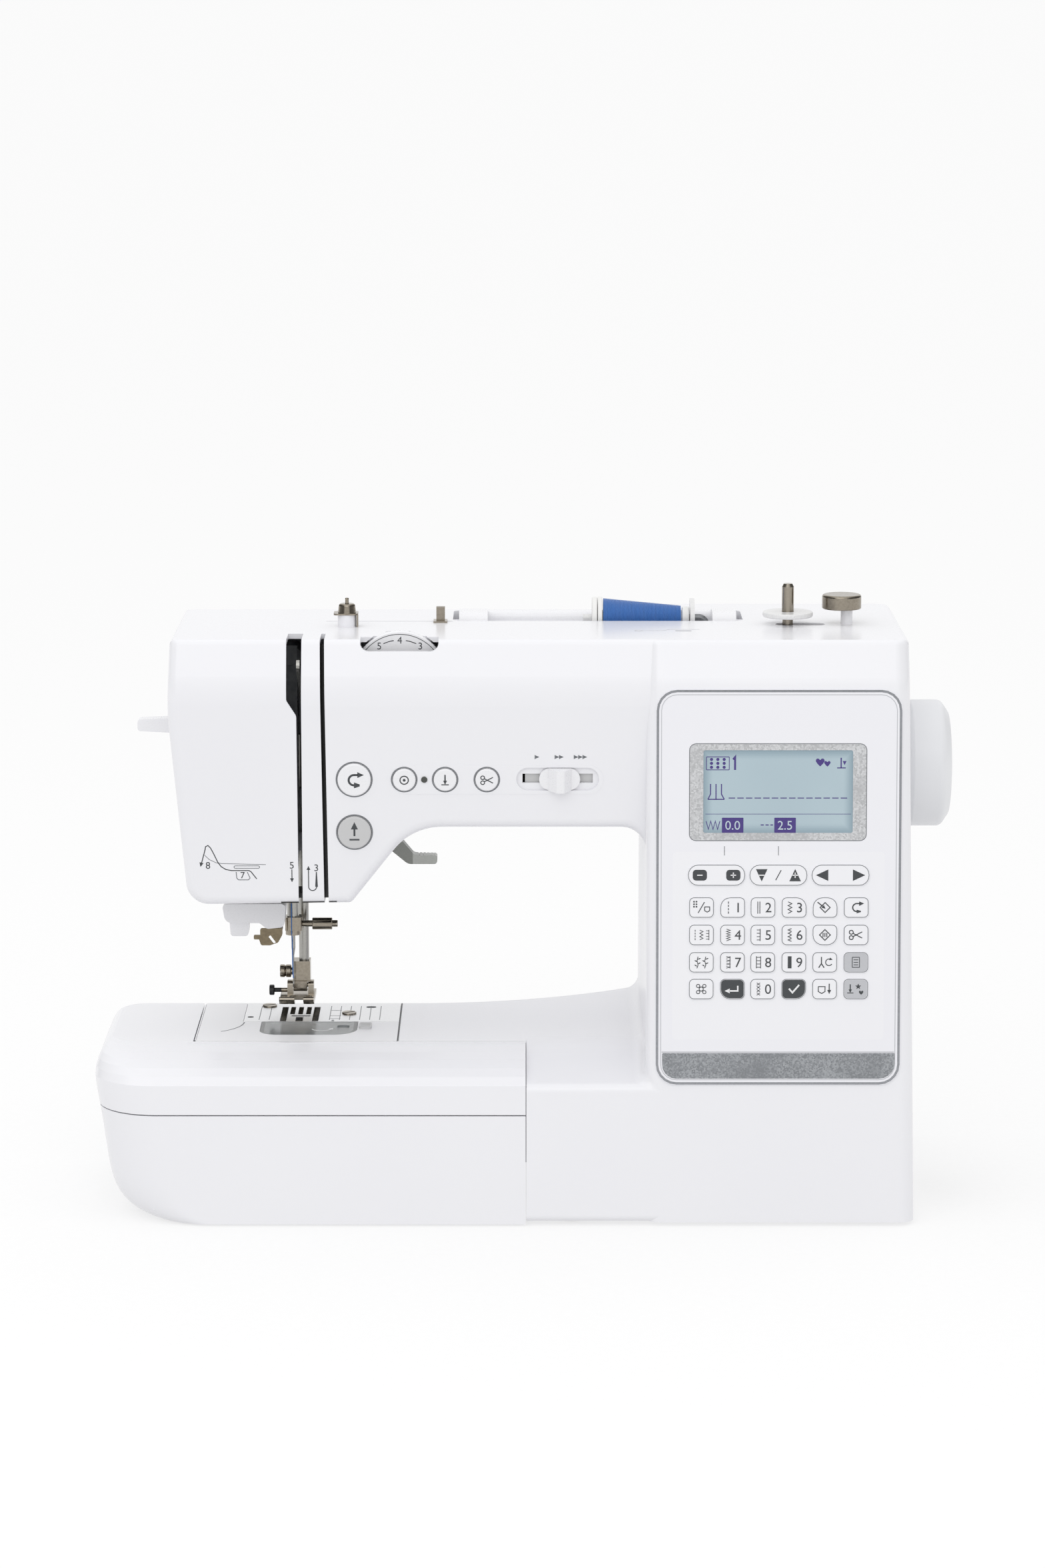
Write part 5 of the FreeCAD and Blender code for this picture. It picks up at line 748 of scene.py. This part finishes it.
def draw_display():
    """Liquid crystal segments: stitch number, foot, a row of stitches, and width and length."""
    # Corner of the drawing below on the panel, and millimetres for each of its steps
    start_u, start_v = 5.375, 175.06
    across, down = 0.06856, 0.06977

    def at(x, y):
        return start_u + x * across, start_v - y * down

    def run(points, wide):
        return stroke([at(*p) for p in points], wide)

    def field(x0, x1, y0, y1, r=0.3):
        (a, b), (c, d) = at(x0, y1), at(x1, y0)
        return a, c, b, d, r

    ink = [border(*field(268, 432, 242, 336, 0.5), 0.35)]
    ink += [disc(*at(x, y), 0.75, 14) for x in (306, 350, 394) for y in (262, 289, 316)]
    ink += [run([(456, 262), (470, 246), (470, 334)], 0.95)]
    ink += [heart(*at(1062, 280), 2.1), heart(*at(1112, 290), 1.5)]
    ink += [run([(1208, 250), (1208, 318)], 0.6), run([(1180, 320), (1240, 320)], 0.5),
            dart(*at(1232, 284), 1.2, 270)]
    ink += [run([(300, 430), (300, 500), (282, 536)], 0.5), run([(338, 430), (338, 536)], 0.5),
            run([(376, 430), (376, 500), (396, 536)], 0.5), run([(282, 536), (396, 536)], 0.5)]
    ink += [run([(265, 637), (1278, 637)], 0.22)]
    ink += [run([(270 + 16 * i, 742 if i % 2 else 686) for i in range(7)], 0.4)]
    ink += [run([(x0, 712), (x1, 712)], 0.5) for x0, x1 in ((650, 672), (684, 706), (718, 736))]
    ink += [pad(*field(380, 530, 662, 766)), pad(*field(745, 895, 662, 766))]
    top = PANEL_PROUD - 0.3
    press("display_segments", "machine", CRYSTAL, PANEL, ink, (), top - PRINT_HALF,
          top + 0.04)
    pale = [("0.0", *at(455, 714), 4.2), ("2.5", *at(820, 714), 4.2)]
    press("display_values", "machine", CRYSTAL_PALE, PANEL, [], pale, top, top + 0.07)
    first = at(449, 527)
    dash_row("display_stitches", "machine", "display_glass", CRYSTAL,
             PANEL @ Matrix.Translation((*first, top)), 14, (60 * across, 0, 0), (45 * across, 0.45, 0.08))


def button_front(body):
    """Plane at the middle of a push button, and the button's radius."""
    x, z, r = BUTTON_SPOTS[body]
    return arm_front(z) @ Matrix.Translation((x, 0, 0)), r


def draw_arm():
    """Printing on the arm front: button signs and rings, lamp and speed marks; and the slider's strip."""
    signs = {
        "reverse": moved(uturn(0.75), -0.3, 0, 1.35),
        "reinforce": [ring(0, 0, 2.0, 0.55, 24), disc(0, 0, 0.7, 14)],
        "needle_position": moved(needle_sign(), 0, 0.2, 0.95),
        "cutter": moved(scissors(0.5), 0.2, 0, 0.95),
        "start_stop": [stroke([(0, -1.6), (0, 2.2)], 0.9), dart(0, 3.2, 2.2, 90),
                       stroke([(-2.4, -3.4), (2.4, -3.4)], 0.8)],
    }
    for body, sign in signs.items():
        press(body + "_sign", body, INK, button_front(body)[0], sign, (), BUTTON_PROUD - PRINT_HALF,
              BUTTON_PROUD + PRINT_HALF)
    for body in signs:
        where, r = button_front(body)
        raised = 0.0 if r > 6 else 0.2
        press(body + "_ring", "machine", INK_SOFT, where,
              [ring(0, 0, r + 0.62, 0.5, 56)], (), raised - PRINT_HALF, raised + PRINT_HALF)
    lamp = arm_front(BUTTON_ROW_Z) @ Matrix.Translation((-48.9, 0, 0.2))
    press("lamp", "machine", LAMP, lamp, [disc(0, 0, 1.5, 24)], (), -0.1, 0.5)
    press("slider_dust_strip", "slider", GREY, arm_front(213.9),
          [pad(-0.6, 35.0, -4.2, 4.2, 0.6)], (), -3.3, -2.8)
    marks = []
    for x, count in ((4.9, 1), (15.5, 2), (25.7, 3)):
        marks += [dart(x + 2.1 * (i - (count - 1) / 2), 0, 1.35, 0) for i in range(count)]
    press("speed_marks", "machine", INK_SOFT, arm_front(224.8), marks)


def draw_threading():
    """Hints on the head that show the thread's way, with plain figures for its steps."""
    where = arm_front(165.0)
    way = [(-154.6, 14.0), (-154.4, 15.3), (-153.2, 15.9), (-152.0, 14.6), (-150.5, 11.6), (-148.7, 7.6),
           (-147.1, 5.3), (-144.8, 3.8), (-142.0, 3.3), (-133.7, 3.3), (-132.7, 2.7), (-130.0, -0.9)]
    bold = [stroke(way, 0.45), stroke([way[0], (-156.5, 6.9)], 0.45), dart(-156.7, 6.4, 1.3, 255)]
    edge = [(-155.0, 11.1), (-152.7, 8.8), (-149.4, 7.2), (-146.6, 6.8), (-125.5, 6.3)]
    catch = [(-139.9, 2.6), (-139.6, -0.5), (-138.8, -1.4), (-134.0, -1.4), (-133.2, -0.5), (-134.5, 2.5)]
    fine = [stroke(edge, 0.25), border(-141.0, -128.4, 4.3, 5.8, 0.7, 0.3), stroke(catch, 0.35)]
    press("threading_path", "machine", INK, where, bold,
          [("8", -153.4, 5.9, 3.4), ("7", -136.8, 1.0, 3.2)])
    press("threading_guides", "machine", INK_SOFT, where, fine)
    back_up = [(-101.2, 2.6), (-101.2, -4.9)] + arc(-103.1, -4.9, 1.9, 0, -180, 10) + [(-105.0, 4.0)]
    arrows = [stroke([(-113.0, 3.9), (-113.0, -1.0)], 0.45), dart(-113.0, -1.4, 1.2, 270),
              stroke(back_up, 0.45), dart(-105.0, 4.4, 1.2, 90)]
    press("slot_arrows", "machine", INK, where, arrows,
          [("5", -113.0, 6.0, 3.4), ("3", -101.2, 4.7, 3.4)])


def draw_dial():
    """Tension figures on the dial, joined by a line round it."""
    where = plane((DIAL_X, DIAL_Y, DIAL_Z), 0)
    figures, lines = [], []
    for i, turn in enumerate((122, 90, 58)):
        t = math.radians(turn)
        figures.append((str(5 - i), DIAL_FIGURE_R * math.cos(t), DIAL_FIGURE_R * math.sin(t), 3.3))
    for start, end in ((115, 99), (81, 65)):
        lines.append(stroke(arc(0, 0, DIAL_FIGURE_R, start, end, 6), 0.4))
    lines += [stroke(arc(0, 0, DIAL_RIM_R, 150, 30, 24), 0.3)]
    press("dial_figures", "dial", INK, where, lines, figures)


def new_tree(name, inputs):
    """Empty Geometry Nodes tree with named inputs, a material among them."""
    tree = bpy.data.node_groups.new(name, "GeometryNodeTree")
    for label, kind in inputs + (("Material", "NodeSocketMaterial"),):
        tree.interface.new_socket(label, in_out="INPUT", socket_type=kind)
    tree.interface.new_socket("Geometry", in_out="OUTPUT", socket_type="NodeSocketGeometry")
    return tree, tree.nodes.new("NodeGroupInput").outputs


def end_tree(tree, geometry, material):
    """Ends a tree in plain geometry with its material set."""
    real = add(tree, "GeometryNodeRealizeInstances", {0: geometry})
    done = add(tree, "GeometryNodeSetMaterial", {"Geometry": real.outputs[0], "Material": material})
    add(tree, "NodeGroupOutput", {0: done.outputs[0]})
    return tree


def dash_tree():
    """Row of even bars: dashes of a stitch line, measuring lines, knurls and ribs."""
    tree, given = new_tree("row_of_bars", (("Count", "NodeSocketInt"), ("Step", "NodeSocketVector"),
                                           ("Size", "NodeSocketVector")))
    line = add(tree, "GeometryNodeMeshLine", {"Count": given["Count"], "Offset": given["Step"]},
               mode="OFFSET")
    bar = add(tree, "GeometryNodeMeshCube", {"Size": given["Size"]})
    row = add(tree, "GeometryNodeInstanceOnPoints", {"Points": line.outputs[0], "Instance": bar.outputs[0]})
    return end_tree(tree, row.outputs[0], given["Material"])


def screw_tree():
    """Slotted screw heads on the points given, standing on z 0."""
    sizes = tuple((name, "NodeSocketFloat") for name in ("Radius", "Height", "Turn"))
    tree, given = new_tree("slotted_screws", (("Spots", "NodeSocketGeometry"),) + sizes)
    head = add(tree, "GeometryNodeMeshCylinder", {"Vertices": 40, "Radius": given["Radius"],
                                                  "Depth": given["Height"]})
    wide = add(tree, "ShaderNodeMath", {0: given["Radius"], 1: 3.0}, operation="MULTIPLY")
    thin = add(tree, "ShaderNodeMath", {0: given["Radius"], 1: 0.3}, operation="MULTIPLY")
    size = add(tree, "ShaderNodeCombineXYZ", {0: wide.outputs[0], 1: thin.outputs[0], 2: given["Height"]})
    cut = add(tree, "GeometryNodeMeshCube", {"Size": size.outputs[0]})
    half = add(tree, "ShaderNodeMath", {0: given["Height"], 1: 0.5}, operation="MULTIPLY")
    lift = add(tree, "ShaderNodeCombineXYZ", {2: half.outputs[0]})
    cut = add(tree, "GeometryNodeTransform", {"Geometry": cut.outputs[0], "Translation": lift.outputs[0]})
    slotted = add(tree, "GeometryNodeMeshBoolean", {0: head.outputs[0], 1: cut.outputs[0]},
                  operation="DIFFERENCE")
    raised = add(tree, "GeometryNodeTransform",
                 {"Geometry": slotted.outputs[0], "Translation": lift.outputs[0]})
    way = add(tree, "ShaderNodeCombineXYZ", {2: given["Turn"]})
    set_out = add(tree, "GeometryNodeInstanceOnPoints",
                  {"Points": given["Spots"], "Instance": raised.outputs[0], "Rotation": way.outputs[0]})
    return end_tree(tree, set_out.outputs[0], given["Material"])


def winding_tree():
    """One unbroken thread wound along a cone, turn beside turn, over the layers below it."""
    names = ("Turns", "First Radius", "Last Radius", "Length", "Thread")
    tree, given = new_tree("thread_winding", tuple((n, "NodeSocketFloat") for n in names))
    way = add(tree, "GeometryNodeCurveSpiral",
              {"Resolution": 40, "Rotations": given["Turns"], "Start Radius": given["First Radius"],
               "End Radius": given["Last Radius"], "Height": given["Length"]})
    half = add(tree, "ShaderNodeMath", {0: given["Thread"], 1: 0.5}, operation="MULTIPLY")
    strand = add(tree, "GeometryNodeCurvePrimitiveCircle", {"Resolution": 8, "Radius": half.outputs[0]})
    wound = add(tree, "GeometryNodeCurveToMesh", {"Curve": way.outputs[0], "Profile Curve": strand.outputs[0],
                                                  "Fill Caps": True})
    below = add(tree, "GeometryNodeMeshCone",
                {"Vertices": 64, "Radius Top": given["Last Radius"], "Radius Bottom": given["First Radius"],
                 "Depth": given["Length"]})
    both = add(tree, "GeometryNodeJoinGeometry", {0: below.outputs[0]})
    tree.links.new(wound.outputs[0], both.inputs[0])
    return end_tree(tree, both.outputs[0], given["Material"])


def grown(name, tree, body, slot, material, where, spots=(), **values):
    """Piece made by a Geometry Nodes tree with its named inputs set, kept as a plain mesh in place."""
    mesh = bpy.data.meshes.new(name)
    mesh.from_pydata(spots, [], [])
    holder = bpy.data.objects.new(name, mesh)
    bpy.context.scene.collection.objects.link(holder)
    modifier = holder.modifiers.new("grow", "NODES")
    modifier.node_group = tree
    for label, value in values.items():
        set_input(modifier, label.replace("_", " "), value)
    set_input(modifier, "Material", material)
    bpy.context.view_layer.update()
    made = bpy.data.meshes.new_from_object(holder.evaluated_get(bpy.context.evaluated_depsgraph_get()))
    bpy.data.objects.remove(holder)
    bpy.data.meshes.remove(mesh)
    made.transform(where)
    return settle(name, made, body, material)


DASHES, SCREWS, WINDING = dash_tree(), screw_tree(), winding_tree()


def dash_row(name, body, slot, material, where, count, step, size):
    """Row of even bars, kept as one piece."""
    return grown(name, DASHES, body, slot, material, where, Count=count, Step=step, Size=size)


def strand(name, body, slot, material, points, thick):
    """Thin round thread along a run of points in millimetres."""
    data = bpy.data.curves.new(name, "CURVE")
    data.dimensions = "3D"
    data.bevel_depth = thick / 2 * MM
    data.bevel_resolution = 3
    data.use_fill_caps = True
    line = data.splines.new("POLY")
    line.points.add(len(points) - 1)
    for spot, point in zip(line.points, points):
        spot.co = (*[c * MM for c in point], 1.0)
    holder = bpy.data.objects.new(name, data)
    bpy.context.scene.collection.objects.link(holder)
    bpy.context.view_layer.update()
    made = bpy.data.meshes.new_from_object(holder.evaluated_get(bpy.context.evaluated_depsgraph_get()))
    bpy.data.objects.remove(holder)
    bpy.data.curves.remove(data)
    return settle(name, made, body, material)


def draw_bed():
    """Needle plate with its screws and measuring lines, bobbin cover arrow, release slider and seams."""
    bed = level(BED_Z)
    grown("plate_screws", SCREWS, "machine", "bright_steel", NICKEL, bed,
          spots=((-129.2, 29.5, 0), (-88.6, 13.3, 0)), Radius=3.6, Height=0.7, Turn=0.5)
    press("plate_holes", "machine", INK, bed,
          [pad(-80.5, -75.5, 25.5, 29.0, 1.6), pad(-139.0, -136.0, 4.0, 7.0, 1.4)])
    for side, x, count in (("right", -98.0, 6), ("left", -133.0, 2)):
        dash_row("measuring_lines_" + side, "machine", "plate_steel", INK_SOFT,
                 bed @ Matrix.Translation((x, 14.5, 0)), count, (5, 0, 0), (0.35, 30.0, 0.1))
    marks = [stroke([(-98.0, y), (-92.5, y)], 0.35) for y in (2.0, 8.0, 20.0)]
    press("measuring_marks", "machine", INK_SOFT, bed, marks, [("5", -96.2, -2.1, 2.6)])
    press("plate_groove", "machine", INK_SOFT, bed,
          [stroke(arc(-164.0, -6.0, 24.0, -55, 0, 14), 0.6)])
    press("bobbin_arrow", "bobbin_lid", INK_WHITE, bed,
          [stroke(arc(-101, -19.0, 5.0, 200, 340, 12), 0.7), dart(-96.1, -19.8, 1.7, 60)])
    press("bobbin_release", "machine", GREY, bed, [pad(-82.6, -76.4, -20.5, -10.5, 1.4)], (),
          -PRINT_HALF, 1.1)
    dash_row("bobbin_release_ribs", "machine", "grey_plastic", GREY,
             bed @ Matrix.Translation((-79.5, -18.5, 1.1)), 4, (0, 2.0, 0), (5.0, 0.7, 0.5))
    press("plate_end_seam", "machine", INK, bed,
          [stroke([(-62.7, -45.6), (-62.7, 35.6)], 0.7)])


def draw_top():
    """Faint printed hints on the top and its long seam."""
    top = level(TOP_Z)
    marks = [ring(-66 + 9 * i, -34, 1.7, 0.4, 20) for i in range(2)] + [stroke([(-64, -34), (-59, -34)], 0.4)]
    marks += [stroke([(57, -30), (66, -30), (70, -26), (84, -26)], 0.5), ring(54.5, -30, 2.0, 0.4, 20),
              pad(72, 80, -32, -29, 1.2)]
    press("top_hints", "machine", KEY_GREY, top, marks)
    press("top_seam", "machine", KEY_GREY, top, [stroke([(-98, 1.6), (-36, 1.6)], 0.35)])


def dress_spool():
    """Fine sewing thread wound over the spool, and the thread that runs down to the needle."""
    where = (Matrix.Translation(Vector((SPOOL_X, SPOOL_Y, SPOOL_Z)) * MM)
             @ Matrix.Rotation(math.pi / 2, 4, "Y") @ Matrix.Scale(MM, 4))
    thread = grown("thread_turns", WINDING, "spool", "blue_thread", THREAD, where, Turns=58.0,
                   First_Radius=9.2, Last_Radius=5.6, Length=38.2, Thread=0.66)
    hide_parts("thread_winding")
    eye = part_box("needle")[0][2] / MM + 5.0   # a little above the point
    way = [(-116.6, 4.75, 139.0), (-116.6, 3.6, 133.0), (-116.6, 3.6, 124.5), (-116.5, 6.8, 119.0),
           (-116.4, 7.25, 108.0), (-116.3, 7.3, eye + 2.5), (-116.1, 7.45, eye)]
    strand("upper_thread", "needle_unit", "blue_thread", THREAD, way, 0.5)


def fasten():
    """Screws that hold the pan, seen from below."""
    spots = ((22, 78, 0), (150, 78, 0), (150, -78, 0), (60, -20, 0))
    under = Matrix.Translation((0, 0, 2.0 * MM)) @ Matrix.Rotation(math.pi, 4, "X") @ Matrix.Scale(MM, 4)
    grown("pan_screws", SCREWS, "machine", "bright_steel", NICKEL, under, spots=spots, Radius=3.2, Height=0.8,
          Turn=0.4)


def place_camera():
    """Camera that took the photograph."""
    data = bpy.data.cameras.new("photo_camera")
    data.lens = FOCAL / PHOTO_H * SENSOR
    data.sensor_width = SENSOR
    data.clip_start, data.clip_end = 0.1, 150
    camera = bpy.data.objects.new("photo_camera", data)
    camera.location = CAMERA_PLACE
    camera.rotation_euler = (math.radians(90 - CAMERA_TILT), 0, 0)
    bpy.context.scene.collection.objects.link(camera)
    bpy.context.scene.camera = camera


def softbox(name, place, aim, size, watts):
    """Soft rectangular light that faces a point, in metres."""
    data = bpy.data.lights.new(name, "AREA")
    data.shape = "RECTANGLE"
    data.size, data.size_y = size
    data.energy = watts
    lamp = bpy.data.objects.new(name, data)
    lamp.location = place
    lamp.rotation_euler = (Vector(aim) - Vector(place)).to_track_quat("-Z", "Y").to_euler()
    bpy.context.scene.collection.objects.link(lamp)


def light_studio():
    """White room: even light all round, dark flags at both sides for the metal to mirror, and two boxes."""
    scene = bpy.context.scene
    scene.view_settings.view_transform = "Standard"
    world = bpy.data.worlds.new("white_room")
    scene.world = world
    world.use_nodes = True
    tree = world.node_tree
    tree.nodes.clear()
    rays = add(tree, "ShaderNodeLightPath").outputs
    seen = add(tree, "ShaderNodeMath", {0: rays["Is Camera Ray"], 1: rays["Is Transmission Ray"]},
               operation="MAXIMUM")
    glow = add(tree, "ShaderNodeMapRange", {"Value": seen.outputs[0], "To Min": 0.94, "To Max": 1.0})
    way = add(tree, "ShaderNodeTexCoord").outputs["Generated"]
    way = add(tree, "ShaderNodeSeparateXYZ", {"Vector": way}).outputs["X"]
    side = add(tree, "ShaderNodeMath", {0: way}, operation="ABSOLUTE")
    flags = add(tree, "ShaderNodeMapRange", {"Value": side.outputs[0], "From Min": 0.42, "From Max": 0.66,
                                             "To Min": 1.0, "To Max": 0.16})
    mirror = add(tree, "ShaderNodeMapRange", {"Value": rays["Is Glossy Ray"], "To Min": 1.0,
                                              "To Max": flags.outputs[0]})
    glow = add(tree, "ShaderNodeMath", {0: glow.outputs[0], 1: mirror.outputs[0]}, operation="MULTIPLY")
    back = add(tree, "ShaderNodeBackground", {"Color": (1, 1, 1, 1), "Strength": glow.outputs[0]})
    add(tree, "ShaderNodeOutputWorld", {"Surface": back.outputs[0]})
    softbox("box_above", (-0.3, -0.2, 1.7), (0, 0.05, 0.15), (1.6, 1.2), 2.0)
    softbox("box_front", (-0.4, -1.6, 1.3), (0, 0, 0.12), (1.8, 1.0), 5.0)


def lay_floor():
    """White paper that runs far behind the machine and takes its shadow; a faint glow keeps it white."""
    made, tree, shader, place = start_material("floor_white_paper")
    grain = add(tree, "ShaderNodeTexNoise", {"Vector": place, "Scale": per_mm(4), "Detail": 3.0})
    tone = add(tree, "ShaderNodeMix", {0: grain.outputs["Fac"], 6: colour("#A2A2A2"), 7: colour("#9E9E9E")},
               data_type="RGBA")
    tree.links.new(tone.outputs[2], shader.inputs["Base Color"])
    shader.inputs["Roughness"].default_value = 0.9
    shader.inputs["Specular IOR Level"].default_value = 0.0
    rays = add(tree, "ShaderNodeLightPath").outputs
    seen = add(tree, "ShaderNodeMath", {0: rays["Is Camera Ray"], 1: rays["Is Glossy Ray"]},
               operation="MAXIMUM")
    seen = add(tree, "ShaderNodeMath", {0: seen.outputs[0], 1: rays["Is Transmission Ray"]},
               operation="MAXIMUM")
    lift = add(tree, "ShaderNodeMapRange", {"Value": seen.outputs[0], "To Min": 0.42, "To Max": 0.63})
    shader.inputs["Emission Color"].default_value = (1, 1, 1, 1)
    tree.links.new(lift.outputs[0], shader.inputs["Emission Strength"])
    sheet = bpy.data.meshes.new("floor")
    sheet.from_pydata([(-FLOOR_X, FLOOR_NEAR, 0), (FLOOR_X, FLOOR_NEAR, 0), (FLOOR_X, FLOOR_FAR, 0),
                       (-FLOOR_X, FLOOR_FAR, 0)], [], [(0, 1, 2, 3)])
    floor = bpy.data.objects.new("floor", sheet)
    floor.data.materials.append(made)
    bpy.context.scene.collection.objects.link(floor)


finish_nodes()
draw_panel()
draw_display()
draw_arm()
draw_threading()
draw_dial()
draw_bed()
draw_top()
dress_spool()
fasten()
place_camera()
light_studio()
lay_floor()
